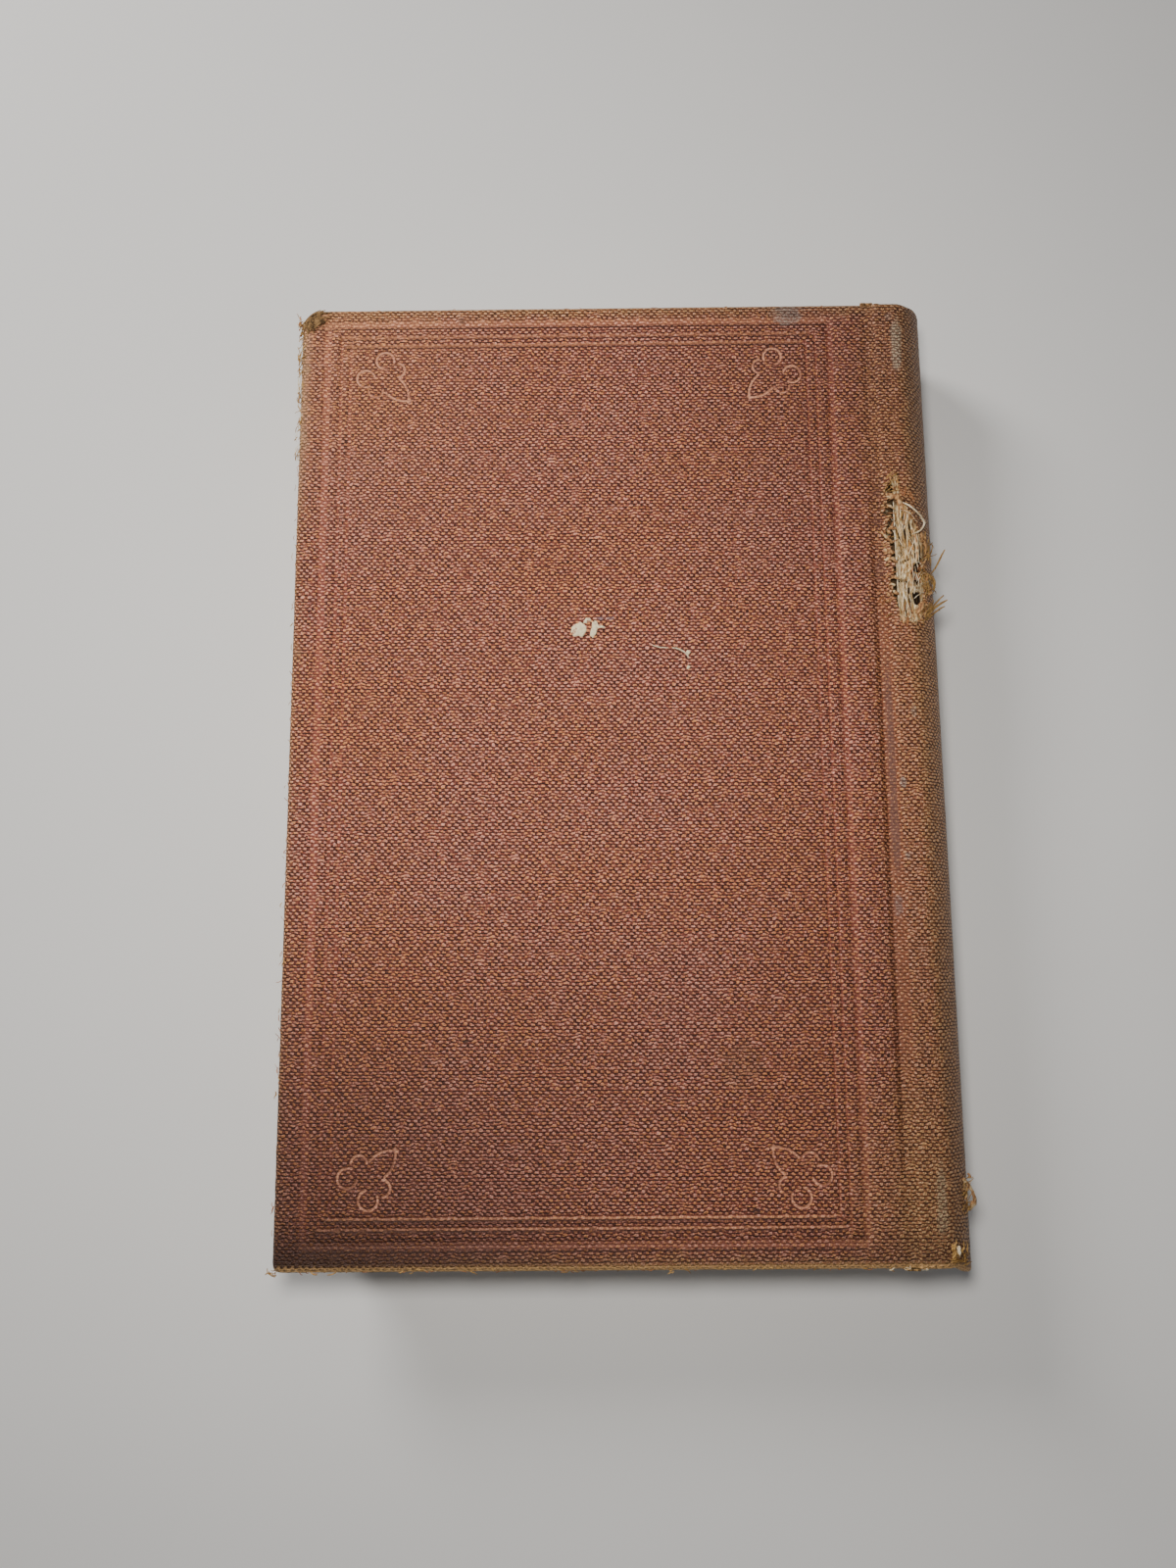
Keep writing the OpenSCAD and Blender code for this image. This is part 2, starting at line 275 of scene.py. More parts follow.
FLEURON_STROKES = ((5.2, -3.1, 5.0, 34, 96), (3.1, 2.9, 1.4, -40, 130), (0.0, 2.6, 1.7, 20, 300))


def stations(start, end, step, fine):
    """Positions from start to end, a step apart, or finer inside each of the given spans."""
    at = [start]
    while at[-1] < end - 1e-6:
        here = at[-1]
        stride = step
        stop = end
        for low, high, close in fine:
            if low - 1e-6 <= here < high - 1e-6:
                stride = min(stride, close)
                stop = min(stop, high)
            elif here < low:
                stop = min(stop, low)
        at.append(here + (stop - here) / max(1, math.ceil((stop - here) / stride - 1e-6)))
    return at


def line_spans(middles, inward):
    spans = []
    for middle, sign in zip(middles, inward):
        for inset, half in STAMP_LINES:
            for edge in (-half, half):
                at = middle + sign * inset + edge
                spans.append((at - STAMP_SOFT, at + STAMP_SOFT, 1))
    return spans


def fleuron_spans(middles, inward):
    ends = [(m - s * FLEURON_BACK, m + s * FLEURON_LEAF) for m, s in zip(middles, inward)]
    return [(min(pair), max(pair), 0.2) for pair in ends]


def stroke_gap(x, y):
    """Distance from a point to the strokes of a corner ornament whose leaf points along +X."""
    nearest = 9.0
    y = abs(y)
    for side in (y, -y):
        for cx, cy, r, a0, a1 in FLEURON_STROKES:
            dx = x - cx
            dy = side - cy
            turn = math.degrees(math.atan2(dy, dx))
            if any(a0 <= turn + k * 360 <= a1 for k in (-1, 0, 1)):
                gap = abs(math.hypot(dx, dy) - r)
            else:
                gap = min(
                    math.hypot(dx - r * math.cos(math.radians(a)), dy - r * math.sin(math.radians(a)))
                    for a in (a0, a1)
                )
            nearest = min(nearest, gap)
    return nearest


def fade(value, low, high):
    t = min(max((value - low) / (high - low), 0), 1)
    return t * t * (3 - 2 * t)


def stamped(x, y):
    """How deeply the lines and the corner ornaments are pressed at a point of the cover, from 0 to 1."""
    inset = min(x - STAMP_X[0], STAMP_X[1] - x, y - STAMP_Y[0], STAMP_Y[1] - y)
    press = 0.0
    for at, half in STAMP_LINES:
        press = max(press, 1 - fade(abs(inset - at), half - STAMP_SOFT, half + STAMP_SOFT))
    curl = 0.0
    for fx in FLEURON_X:
        for fy in FLEURON_Y:
            dx = x - fx
            dy = y - fy
            sx = 1 if fx < -50 else -1
            sy = 1 if fy < 0 else -1
            if all(-FLEURON_BACK < reach < FLEURON_LEAF for reach in (dx * sx, dy * sy)):
                lx = (dx * sx + dy * sy) / math.sqrt(2)
                ly = (dy * sy - dx * sx) / math.sqrt(2)
                curl = max(curl, 1 - fade(stroke_gap(lx, ly), 0.1, 0.42))
    return press, curl


def joint_sink(y):
    """Depth of the joint below the cover, less near head and tail where it was not pressed home."""
    return (HALF_T - FLOOR_H) * (1 - 0.7 * fade(abs(y + 14), 40, 70))


def surface(u, y):
    """Height of the cover's outer face and the thickness below it, at a distance from the joint."""
    sink = joint_sink(y)
    crease = 0.1 * math.exp(-(((u + 0.85) / 0.2) ** 2)) * fade(y, 60, 30) * fade(y, -88, -60)
    fall = sink * fade(u, FALL_START, FALL_END) + crease
    thick = HALF_T - BOARD_IN + CLOTH if u < BOARD_END else 2 * CLOTH
    return HALF_T - fall, thick - (fall if u < BOARD_END else 0)


def ripple(x, y, z):
    return noise.noise(Vector((x, y, z)))


def grid(bm, xs, ys):
    """A flat grid: each point comes with the numbers of its column and row in the two lists."""
    columns = len(xs) - 1
    rows = len(ys) - 1
    bmesh.ops.create_grid(bm, x_segments=columns, y_segments=rows, size=1)
    for v in bm.verts:
        yield v, round((v.co.x + 1) / 2 * columns), round((v.co.y + 1) / 2 * rows)


def make(name, bm, material, smooth=True):
    """Turn a finished bmesh into an object at the origin."""
    mesh = bpy.data.meshes.new(name)
    bm.to_mesh(mesh)
    bm.free()
    for polygon in mesh.polygons:
        polygon.use_smooth = smooth
    mesh.materials.append(material)
    piece = bpy.data.objects.new(name, mesh)
    bpy.context.collection.objects.link(piece)
    return piece


def thicken(piece, thickness, offset=-1):
    wall = piece.modifiers.new("Thickness", "SOLIDIFY")
    wall.thickness = thickness / 1000
    wall.offset = offset


def grow(bm, fold):
    """Extrude a run of edges: gives the new points and the new outer edges."""
    grown = bmesh.ops.extrude_edge_only(bm, edges=fold)["geom"]
    points = [g for g in grown if isinstance(g, bmesh.types.BMVert)]
    edges = [g for g in grown if isinstance(g, bmesh.types.BMEdge) and g.is_boundary]
    fresh = set(points)
    return points, [e for e in edges if fresh.issuperset(e.verts)]


def sharpen(bm):
    for edge in bm.edges:
        if edge.is_boundary:
            edge.smooth = False


def cover_cloth(name, side, worn, material):
    bm = bmesh.new()
    layers = {key: bm.verts.layers.float.new(key) for key in ("su", "sv", "nx", "ny", "stamp", "rim", "curl")}
    xs = stations(FORE, FALL_START, GRID_STEP, [
        (FORE, FORE + 0.4, 0.2), (FORE + 0.4, FORE + 4.2, 0.5),
        *line_spans(STAMP_X, (1, -1)), *fleuron_spans(FLEURON_X, (1, -1)),
    ])
    xs += [-2.05, -1.8, -1.6, -1.45, -1.34, -1.28, -1.15, -1.0, -0.85, -0.7, -0.4, -0.1, 0.2, 0.5, CLOTH_END]
    ys = stations(-END, END, GRID_STEP, [
        (-END, 0.4 - END, 0.2), (END - 4.2, END - 0.4, 0.5), (END - 0.4, END, 0.2),
        *line_spans(STAMP_Y, (1, -1)), *fleuron_spans(FLEURON_Y, (1, -1)),
    ])
    for v, i, j in grid(bm, xs, ys):
        x = xs[i]
        y = ys[j]
        nx = -1.0 if i == 0 else 0.0
        ny = 1.0 if j == len(ys) - 1 else -1.0 if j == 0 else 0.0
        for sy in (1, -1):
            r, power = WORN_CORNER if worn and sy > 0 else CORNER
            a = (FORE + r - x) / r
            b = (sy * y - END + r) / r
            if a > 0 and b > 0:
                norm = (a**power + b**power) ** (1 / power)
                scale = max(a, b) / norm
                x = FORE + r - a * scale * r
                y = sy * (END - r + b * scale * r)
                if i == 0 or j in (0, len(ys) - 1):
                    out = Vector((-(a ** (power - 1)), sy * b ** (power - 1))).normalized()
                    nx, ny = out
        press, curl = stamped(x, y)
        h = surface(x, y)[0] - STAMP_DEPTH * press - CURL_DEPTH * curl
        if x < FALL_START:
            h += 0.05 * ripple(x / 17, y / 21, 3.7 + side)
            h -= 0.05 + 0.06 * press * ripple(x / 5, y / 5, 9.1)
        v.co = place(x, y, h, side)
        v[layers["su"]] = x
        v[layers["sv"]] = y
        v[layers["nx"]] = nx
        v[layers["ny"]] = ny
        v[layers["stamp"]] = max(press, curl)
        v[layers["curl"]] = curl
        v[layers["rim"]] = 0.0
    fold = [e for e in bm.edges if e.is_boundary]
    fold = [e for e in fold if any(v[layers["su"]] <= CLOTH_END - 0.01 for v in e.verts)]
    turns = [(EDGE * math.sin(a), EDGE * (1 - math.cos(a)), 0) for a in (0.4, 0.8, 1.2, math.pi / 2)]
    turns += [(EDGE * math.cos(a), EDGE * (1 - math.sin(a)), 1) for a in (math.pi / 2, 1.2, 0.8, 0.4, 0.0)]
    turns += [(-TURN_IN, 0.0, 2)]
    for number, (out, down, stage) in enumerate(turns):
        points, fold = grow(bm, fold)
        for v in points:
            u = v[layers["su"]]
            y = v[layers["sv"]]
            n = Vector((v[layers["nx"]], v[layers["ny"]]))
            top, thick = surface(u, y)
            soft = min(EDGE, thick / 2) / EDGE
            h = top - down * soft if stage == 0 else top - thick + down * soft
            if stage < 2:
                x = u + n.x * out
                y = y + n.y * out
                rim = 1 - abs(number - 4) / 8
                frayed = 0.05 * ripple(x / 1.3, y / 1.3, number * 0.7)
                x += n.x * frayed
                y += n.y * frayed
            else:
                rim = 0.0
                x = u
                if abs(n.y) >= abs(n.x):
                    y = math.copysign(HALF_H - TURN_IN, y)
                    if x < -COVER_W + MITRE:
                        x = -COVER_W + TURN_IN + (x + COVER_W) * (MITRE - TURN_IN) / MITRE
                else:
                    x = -COVER_W + TURN_IN
                    reach = abs(y) - (HALF_H - MITRE)
                    if reach > 0:
                        y = math.copysign(HALF_H - MITRE + reach * (MITRE - TURN_IN) / MITRE, y)
            v.co = place(x, y, h, side)
            v[layers["rim"]] = rim
            v[layers["stamp"]] = 0.0
    if side < 0:
        bmesh.ops.reverse_faces(bm, faces=bm.faces[:])
    unfold = bm.loops.layers.uv.new("sheet")
    for face in bm.faces:
        for loop in face.loops:
            co = loop.vert.co * 1000
            fall = HALF_T - abs(co.z - MIDDLE)
            n = Vector((loop.vert[layers["nx"]], loop.vert[layers["ny"]]))
            spread = n * (fall if fall > 0.3 else 0)
            loop[unfold].uv = ((co.x - JOINT + spread.x) / 1000, (co.y + spread.y) / 1000)
    sharpen(bm)
    cloth = make(name, bm, material)
    thicken(cloth, CLOTH)
    return cloth


def near(sheet, x, y, size, wide):
    """A blotch with a broken edge round a point of the cover, given from the fore-edge."""
    there = sheet.node("VectorMath", {"operation": "SUBTRACT"}, {0: sheet, 1: (x - COVER_W, y, 0)})
    there = there.stretch(1 / wide, 1, 1)
    gap = there.node("VectorMath", {"operation": "LENGTH"}, {0: there}, 1)
    broken = (sheet.cloud(size * 0.8, 3, 1.3, "2D") - 0.5) * size * 0.6 * 2
    return (gap + broken).smooth(size, size * 0.45)


def faded(sheet, patch, small, rim):
    """How far the sun and handling have turned the red cloth tan, from 0 to 1."""
    x = sheet.axis(0)
    y = sheet.axis(1)
    fore = (x + small * 4).smooth(-104.6, -110.5) * 0.4
    ends = (y.math("ABSOLUTE") + small * 3).smooth(86.6, 90.4) * 0.7
    joint = (x + small * 2.4).smooth(-3.4, 1.4) * 0.34
    spine = (x + small * 2.6).smooth(4.4, 8.2) * 0.7
    joint = joint + (x + small * 3).smooth(-16, 0) * y.smooth(-46, -84) * 0.45
    most = fore.math("MAXIMUM", ends).math("MAXIMUM", joint).math("MAXIMUM", spine)
    return most.math("MAXIMUM", rim * 0.85)


def line_light(u, v):
    """Painted highlight on the crest of each stamped line that runs across, and painted shade in a dark line
    on its tail side.
    """
    bright = 0
    dark = 0
    for y, half, start, end, share in ACROSS:
        along = u.smooth(start - 0.4, start + 0.2) * u.smooth(end + 0.4, end - 0.2)
        bright = (v - y).math("ABSOLUTE").smooth(half + 0.14, half - 0.08) * (along * share) + bright
        dark = (v - (y - half - 0.22)).math("ABSOLUTE").smooth(0.34, 0.08) * along + dark
    return bright, dark


ACROSS = (
    (85.7, 0.7, -106.7, -8.5, 0.3), (83, 0.2, -103.1, -11.9, 0.45), (81.2, 0.2, -101.3, -13.6, 0.55),
    (-80.3, 0.2, -101.3, -13.6, 0.6), (-82, 0.2, -103.1, -11.9, 0.5), (-84.7, 0.7, -106.7, -8.5, 0.12),
)


def no_marks(sheet, colour, crest):
    return colour


# Stains and rubs of the back cover's cloth, then painted shade and painted light over the whole of it.
def back_marks_and_painted_light(sheet, colour, crest):
    tops = crest.smooth(0.25, 0.8) * 0.85 + 0.15
    for x, y, size, wide, shade, share in MARKS:
        spot = near(sheet, x, y, size, wide) * share
        colour = (spot * tops if shade[0] > 0.3 else spot).mix(colour, shade)
    u = sheet.axis(0)
    v = sheet.axis(1)
    # Painted shade: the cloth is darkened towards the lower left, along the tail, at the upper right by the
    # joint, over the lower half and towards the joint.
    painted_shade = v.smooth(-20, -92) * u.smooth(-20, -112) * 0.5
    painted_shade = painted_shade + v.smooth(-78, -90) * 0.3 + v.smooth(20, 80) * u.smooth(-60, 0) * 0.24
    painted_shade = painted_shade + v.smooth(0, -60) * 0.2 + u.smooth(-50, -4) * 0.12
    colour = painted_shade.mix(colour, (0.04, 0.019, 0.014))
    tail = (v + tops * 0.7).smooth(-87.3, -88.3) * 0.85
    head = (v - tops).smooth(87.9, 88.8) * 0.35
    colour = (tail.math("MAXIMUM", head) * (tops * 0.7 + 0.3)).mix(colour, (0.95, 0.56, 0.21))
    # Painted light: the crests are lightened towards the head and the fore-edge, the upper left of the cover.
    upper_left_painted_light = v.smooth(30, 92) * u.smooth(-60, -112) * (tops * 0.3)
    colour = upper_left_painted_light.mix(colour, (0.95, 0.46, 0.21))
    # The fore-edge strip turns golden towards the head: partly the rubbed edge's own colour, partly painted
    # light from the upper left.
    edge = (u + (tops - 0.5) * 1.2).smooth(-107.4, -109.8) * v.smooth(40, 74) * (tops * 0.5 + 0.1)
    return edge.mix(colour, (0.92, 0.6, 0.33))


MARKS = (
    (94.5, 87.2, 2.6, 1.5, (0.42, 0.36, 0.31), 0.75), (93.6, 85.2, 1.1, 1.2, (0.42, 0.34, 0.28), 0.7),
    (115.2, 81, 6.5, 0.2, (0.8, 0.66, 0.46), 0.75), (113.9, 86.2, 1, 1, (0.46, 0.38, 0.3), 0.5),
    (115.2, -77, 7, 0.2, (0.66, 0.54, 0.34), 0.6), (112.2, -5.2, 1.3, 0.6, (0.5, 0.44, 0.38), 0.65),
    (112.4, -18.4, 0.8, 0.8, (0.48, 0.42, 0.36), 0.6), (110.3, -4, 26, 0.04, (0.16, 0.085, 0.075), 0.55),
    (110.2, -27.5, 2.4, 0.4, (0.34, 0.28, 0.27), 0.6), (114.9, 8, 2.2, 0.3, (0.5, 0.42, 0.3), 0.5),
    (57.3, 26.2, 0.5, 1.6, (0.42, 0.32, 0.36), 0.8), (59.2, 26.2, 0.5, 1.9, (0.42, 0.32, 0.36), 0.7),
    (33, -50.5, 0.55, 1, (0.05, 0.02, 0.02), 0.8), (56, -37.4, 0.45, 1.2, (0.05, 0.02, 0.02), 0.7),
    (62, 3, 4.5, 1.3, (0.1, 0.04, 0.035), 0.1), (81, -55, 5, 1.1, (0.36, 0.2, 0.1), 0.3),
    (31, 86.2, 0.8, 1.4, (0.06, 0.03, 0.03), 0.7), (83, -79.3, 0.7, 1.5, (0.05, 0.02, 0.02), 0.7),
    (1.2, 76.5, 1.4, 0.7, (0.62, 0.38, 0.2), 0.7), (1, 20.5, 2.4, 0.5, (0.55, 0.28, 0.13), 0.6),
    (109.8, 50.5, 1.7, 0.7, (0.12, 0.045, 0.035), 0.55), (109.6, 44.5, 2, 0.6, (0.13, 0.05, 0.04), 0.5),
    (109.6, 35, 2.4, 0.6, (0.15, 0.06, 0.045), 0.5), (111.2, 39, 1.6, 0.6, (0.5, 0.24, 0.1), 0.5),
    (0.8, 62, 3, 0.5, (0.6, 0.36, 0.2), 0.5), (2.6, 87, 2.6, 1, (0.1, 0.055, 0.025), 0.65),
)


def book_cloth(marks_and_light):
    """The grained cloth, read from the unfolded sheet."""

    def build(start):
        sheet = start.node("UVMap", {"uv_map": "sheet"}, {}).stretch(1000, 1000, 1000)
        stamp = start.painted("stamp")
        rim = start.painted("rim")
        curl = start.painted("curl")
        u = sheet.axis(0)
        v = sheet.axis(1)
        sway = sheet.stretch(0.6, 1, 1).cloud(0.6, 1, 5.0, "2D") - 0.5
        slip = sheet.cloud(2.6, 1, 3.0, "2D") - 0.5
        peaks = (u * 1.428 + slip).math("COSINE") * (v * 0.873 + slip).math("COSINE")
        hill = peaks.smooth(0.1, 0.95)
        phase = (v + sway * 0.2 + slip * 0.25 - hill * 0.24) * 5.4
        pitch = u * 5.2 + slip * 3 + sway * 1.4
        row = (phase * 2).math("COSINE").smooth(-0.95, 0.1)
        pearl = (pitch.math("COSINE") * phase.math("COSINE")).smooth(-0.5, 0.3)
        straight = sheet.stretch(0.3, 1, 1).cloud(1.3, 1, 8.0, "2D").smooth(0.45, 0.68)
        beads = sheet.stretch(0.7, 1, 1).cloud(0.26, 1, 2.0, "2D") - 0.5
        # lit is a painted highlight: a bright spot on the upper-left side of each pearl, added to the grain
        # so that the crest colours paint it pale.
        lit = ((pitch + 0.6).math("COSINE") * (phase - 0.5).math("COSINE")).smooth(0.45, 0.95)
        strong = sheet.stretch(0.5, 1, 1).cloud(0.7, 1, 9.0, "2D") - 0.5
        grain = pearl * (0.34 - straight * 0.22) + row * 0.32 + straight * 0.12 + strong * 0.26 + 0.1
        grain = grain + beads * 0.6 + lit * 0.5 + hill * 0.06
        grain = (grain - 0.5) * 1.45 + 0.5
        keep = 1 - stamp * 0.42
        valley = u.smooth(2.0, 1.2) * u.smooth(-1.4, -0.7) * v.smooth(36, 22) * v.smooth(-66, -48)
        keep = keep * (1 - valley * 0.5)
        grain = (grain - 0.56) * keep + 0.56 + stamp * 0.03 - valley * 0.06
        crest = grain.smooth(0.0, 1.0)
        patch = sheet.cloud(26, 4, 11.0, "2D")
        small = sheet.cloud(5, 4, 14.0, "2D")
        mottle = sheet.cloud(0.9, 2, 17.0, "2D")
        # Here and in the tan colours below, the colours run from near-black in the creases to pale pink and
        # orange on the crests: partly the cloth's own dirt and wear, partly painted shade in the creases and
        # painted highlight on the crests.
        low = crest.smooth(0.0, 0.62).mix((0.034, 0.008, 0.006), (0.295, 0.074, 0.046))
        tone = (patch * 0.3 + mottle * 0.7).smooth(0.38, 0.62)
        high = tone.mix((1.0, 0.41, 0.16), (1.0, 0.46, 0.34))
        colour = crest.smooth(0.62, 1.0).mix(low, high)
        tan_low = crest.smooth(0.0, 0.62).mix((0.055, 0.019, 0.006), (0.44, 0.195, 0.07))
        tan = crest.smooth(0.6, 1.0).mix(tan_low, (0.8, 0.5, 0.22))
        colour = faded(sheet, patch, small, rim).mix(colour, tan)
        # Painted highlight on the stamped lines' crests and painted shade below them.
        bright, dark = line_light(u, v)
        colour = (bright * (crest * 0.5 + 0.25)).mix(colour, (0.88, 0.42, 0.2))
        colour = (dark * 0.62).mix(colour, (0.045, 0.012, 0.008))
        colour = marks_and_light(sheet, colour, crest)
        # Painted highlight on the corner ornaments' strokes, broken into patches and brighter towards the
        # head, and painted shade along the strokes' edges.
        highlight_patches = sheet.cloud(3.4, 2, 21.0, "2D").smooth(0.38, 0.54) * 0.6 + 0.4
        lit_stroke = curl.smooth(0.45, 0.95) * (v.smooth(-40, 40) * 0.2 + 0.6) * highlight_patches
        colour = lit_stroke.mix(colour, (0.78, 0.38, 0.23))
        colour = (curl.smooth(0.02, 0.16) * curl.smooth(0.6, 0.3) * 0.72).mix(colour, (0.085, 0.024, 0.015))
        return colour, 0.6 - crest * 0.16, grain + small * 0.1, 0.34

    return build


BACK_CLOTH = finish("Marked book cloth with painted light", 0.3, book_cloth(back_marks_and_painted_light))
FRONT_CLOTH = finish("Book cloth", 0.3, book_cloth(no_marks))
for side, name, material in ((1, "back", BACK_CLOTH), (-1, "front", FRONT_CLOTH)):
    cloth = cover_cloth(name + "_cover_cloth", side, side > 0, material)
    place(-1.2, 0, HALF_T)
    place(CLOTH_END, 0, HALF_T)
    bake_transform(cloth)
    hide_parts(name + "_cloth")


# Hinge paper inside each joint: the fold of the endpaper between the cover's lining and the flyleaf.
# It is pasted to both, folds up beside the board when the book is shut and is drawn tight when open.
HINGE = (
    (-3.6, 7.5), (-2.6, 7.5), (-1.9, 7.5), (-1.45, 7.52), (-1.24, 7.72), (-1.14, 8.1), (-1.02, 8.5),
    (-0.92, 8.72), (-0.8, 8.72), (-0.7, 8.5), (-0.6, 8.1), (-0.52, 7.75), (-0.46, 7.52), (-0.6, 7.44),
)
HINGE_HALF = 85.9
PAPER = 0.08
for side, name in ((1, "back"), (-1, "front")):
    bm = bmesh.new()
    for v, i, j in grid(bm, HINGE, range(61)):
        u, h = HINGE[i]
        y = v.co.y * HINGE_HALF
        slack = 0.05 * ripple(u, y / 6, side * 5.0) * fade(u, -1.85, -1.4)
        v.co = place(u, y, h + slack, side)
    if side < 0:
        bmesh.ops.reverse_faces(bm, faces=bm.faces[:])
    hinge = make(name + "_hinge_paper", bm, ENDPAPER)
    thicken(hinge, PAPER, 0)
    place(-0.88, 0, 8.4, side)
    place(-0.84, 0, 8.4, side)
    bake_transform(hinge)


# Card strip that stiffens the spine cloth: straw card glued inside it, bare in the tear.
# Its fibres run from head to tail, and it has cracked and split along them there.
BACK_A = math.radians(51.83)
BACK_R = 12.906
BACK_X = -0.906
ROLL_U = 2.2
ROLL_H = 9.5
ROLL_R = 1.5
ROLL_FOOT = 0.7
RIDGE_U = 4.6
RIDGE_H = 7.0
RIDGE_R = 4.0
SHOULDER = 2.4
CARD = 0.62
CARD_DEPTH = 0.46
CARD_ROOM = 0.7
TEAR_U = 2.2
TEAR_Y = 39.3
TEAR_REACH = 19


def spine_section(fine, coarse):
    """Points (u, h, normal u, normal h, length) down the spine, fine on the torn side."""
    points = []

    def sweep(cx, cy, r, a0, a1, step):
        count = max(2, math.ceil(abs(a1 - a0) * r / step))
        for i in range(count + 1):
            a = a0 + (a1 - a0) * i / count
            points.append((cx + r * math.cos(a), cy + r * math.sin(a), math.cos(a), math.sin(a)))

    half = math.pi / 2
    roll = math.pi - math.asin(ROLL_FOOT / ROLL_R)
    points.append((CLOTH_END - 0.35, FLOOR_H - 0.05, 0, 1))
    points.append((CLOTH_END, FLOOR_H - 0.03, 0, 1))
    sweep(ROLL_U, ROLL_H, ROLL_R, roll, half, 0.25)
    count = max(2, math.ceil(SHOULDER / fine))
    points.extend((ROLL_U + SHOULDER * i / count, HALF_T, 0, 1) for i in range(1, count))
    sweep(RIDGE_U, RIDGE_H, RIDGE_R, half, BACK_A, fine)
    points.pop()
    sweep(BACK_X, 0, BACK_R, BACK_A, BACK_A - 0.5, fine)
    points.pop()
    sweep(BACK_X, 0, BACK_R, BACK_A - 0.5, -BACK_A, coarse)
    points.pop()
    sweep(RIDGE_U, -RIDGE_H, RIDGE_R, -BACK_A, -half, coarse)
    points.append((3.4, -HALF_T, 0, -1))
    sweep(ROLL_U, -ROLL_H, ROLL_R, -half, -roll, 0.3)
    points.append((CLOTH_END, -FLOOR_H, 0, -1))
    length = points[0][0]
    full = []
    for i, point in enumerate(points):
        if i:
            length += math.hypot(point[0] - points[i - 1][0], point[1] - points[i - 1][1])
        full.append((*point, length))
    return full


def crushed(u, y):
    """How far the folded ends of the spine have been knocked out beyond head and tail."""
    return (1.0 if y > 0 else -1.9) * fade(u, 6.5, 11.6) * fade(abs(y), 76, 89)


def spine_strip(bm, section, rows, shape):
    """A grid down the spine and along its height; shape gives each point's depth and its rim."""
    layers = {key: bm.verts.layers.float.new(key) for key in ("su", "sv", "stamp", "rim", "curl")}
    for v, i, j in grid(bm, section, rows):
        u, h, nu, nh, length = section[i]
        depth, rim = shape(u, h, rows[j], length)
        v.co = place(u - nu * depth, rows[j] + crushed(u, rows[j]), h - nh * depth)
        v[layers["su"]] = length
        v[layers["sv"]] = rows[j]
        v[layers["rim"]] = rim
    return layers


def unfold(bm, layers):
    sheet = bm.loops.layers.uv.new("sheet")
    for face in bm.faces:
        for loop in face.loops:
            loop[sheet].uv = (loop.vert[layers["su"]] / 1000, loop.vert[layers["sv"]] / 1000)


def inside(x, y, outline):
    crossed = False
    for (x0, y0), (x1, y1) in zip(outline, outline[1:] + outline[:1]):
        if (y0 > y) != (y1 > y) and x < (x1 - x0) * (y - y0) / (y1 - y0) + x0:
            crossed = not crossed
    return crossed


def outline_gap(x, y, outline):
    nearest = 99.0
    for (x0, y0), (x1, y1) in zip(outline, outline[1:] + outline[:1]):
        dx = x1 - x0
        dy = y1 - y0
        t = min(max(((x - x0) * dx + (y - y0) * dy) / (dx * dx + dy * dy), 0), 1)
        nearest = min(nearest, math.hypot(x - x0 - t * dx, y - y0 - t * dy))
    return nearest


def from_tear(points):
    return [(TEAR_U + x, TEAR_Y + y) for x, y in points]


TEAR = from_tear((
    (1.2, 14.9), (0.2, 13.1), (-0.9, 10.7), (0.1, 10.3), (-0.7, 8.7), (-1.3, 6.9), (-0.2, 6.2),
    (-0.8, 4.2), (-1.2, 1.7), (0.1, 0.2), (-0.6, -1.8), (0.3, -3.3), (-0.5, -6.3), (-0.3, -9.3),
    (0.5, -11.3), (0.8, -13.8), (2, -14.3), (2.8, -14.9), (4, -14.1), (5.2, -12.9), (6.1, -10.3),
    (5.8, -7.8), (6.8, -5.8), (6.2, -3.3), (7, -0.3), (6.2, 3.1), (5, 4.9), (4, 6.7), (3.1, 8.3),
    (2.2, 9.3), (1.7, 11.1), (2, 13.1),
))
CRACKS = [from_tear(points) for points in (
    ((4.8, 2.7), (4.6, -1.3), (4.9, -4.8), (5.4, -5.1), (5.6, -1.3), (5.3, 2.3)),
    ((3.6, -4.7), (4.2, -6.7), (4.6, -5.9), (4.4, -3.3), (4, -3.1)),
    ((3.7, -8.7), (4.1, -10.5), (4.8, -10.1), (4.7, -8.5)),
)]
SPLITS = [from_tear(points) for points in (
    ((0.7, 8.2), (0.9, 4.5), (1.1, 2.2), (1, 5)),
    ((2.3, 7.4), (2.5, 3), (2.8, 0.4), (2.6, 3.6)),
    ((3.3, 6.2), (3.6, 2.9), (3.9, 1), (3.7, 3.4)),
    ((1.7, -8.6), (1.9, -11.2), (2.1, -13.2), (2.1, -10.2)),
    ((2.8, -7.6), (3.1, -9.6), (3, -12.4), (2.7, -9.8)),
    ((0.6, -1.9), (1.6, -2.5), (3.2, -2), (1.7, -2.8)),
    ((0.6, -6.2), (1.5, -5.9), (2.6, -6.6), (1.4, -6.5)),
    ((1.4, 3.2), (1.5, 0.2), (1.8, -1.4), (1.6, 0.8)),
)]


def ragged(u, y):
    """The same place moved a little, so that the tear's outline runs ragged."""
    return (
        u + 0.35 * ripple(u * 1.3, y * 1.3, 5.5) + 0.2 * ripple(u * 4, y * 4, 8.0),
        y + 0.35 * ripple(u * 1.3, y * 1.3, 15.5) + 0.2 * ripple(u * 4, y * 4, 18.0),
    )


def shaky(u, y):
    shift = 0.2 * ripple(u, y, 2.2)
    return u + shift, y + shift


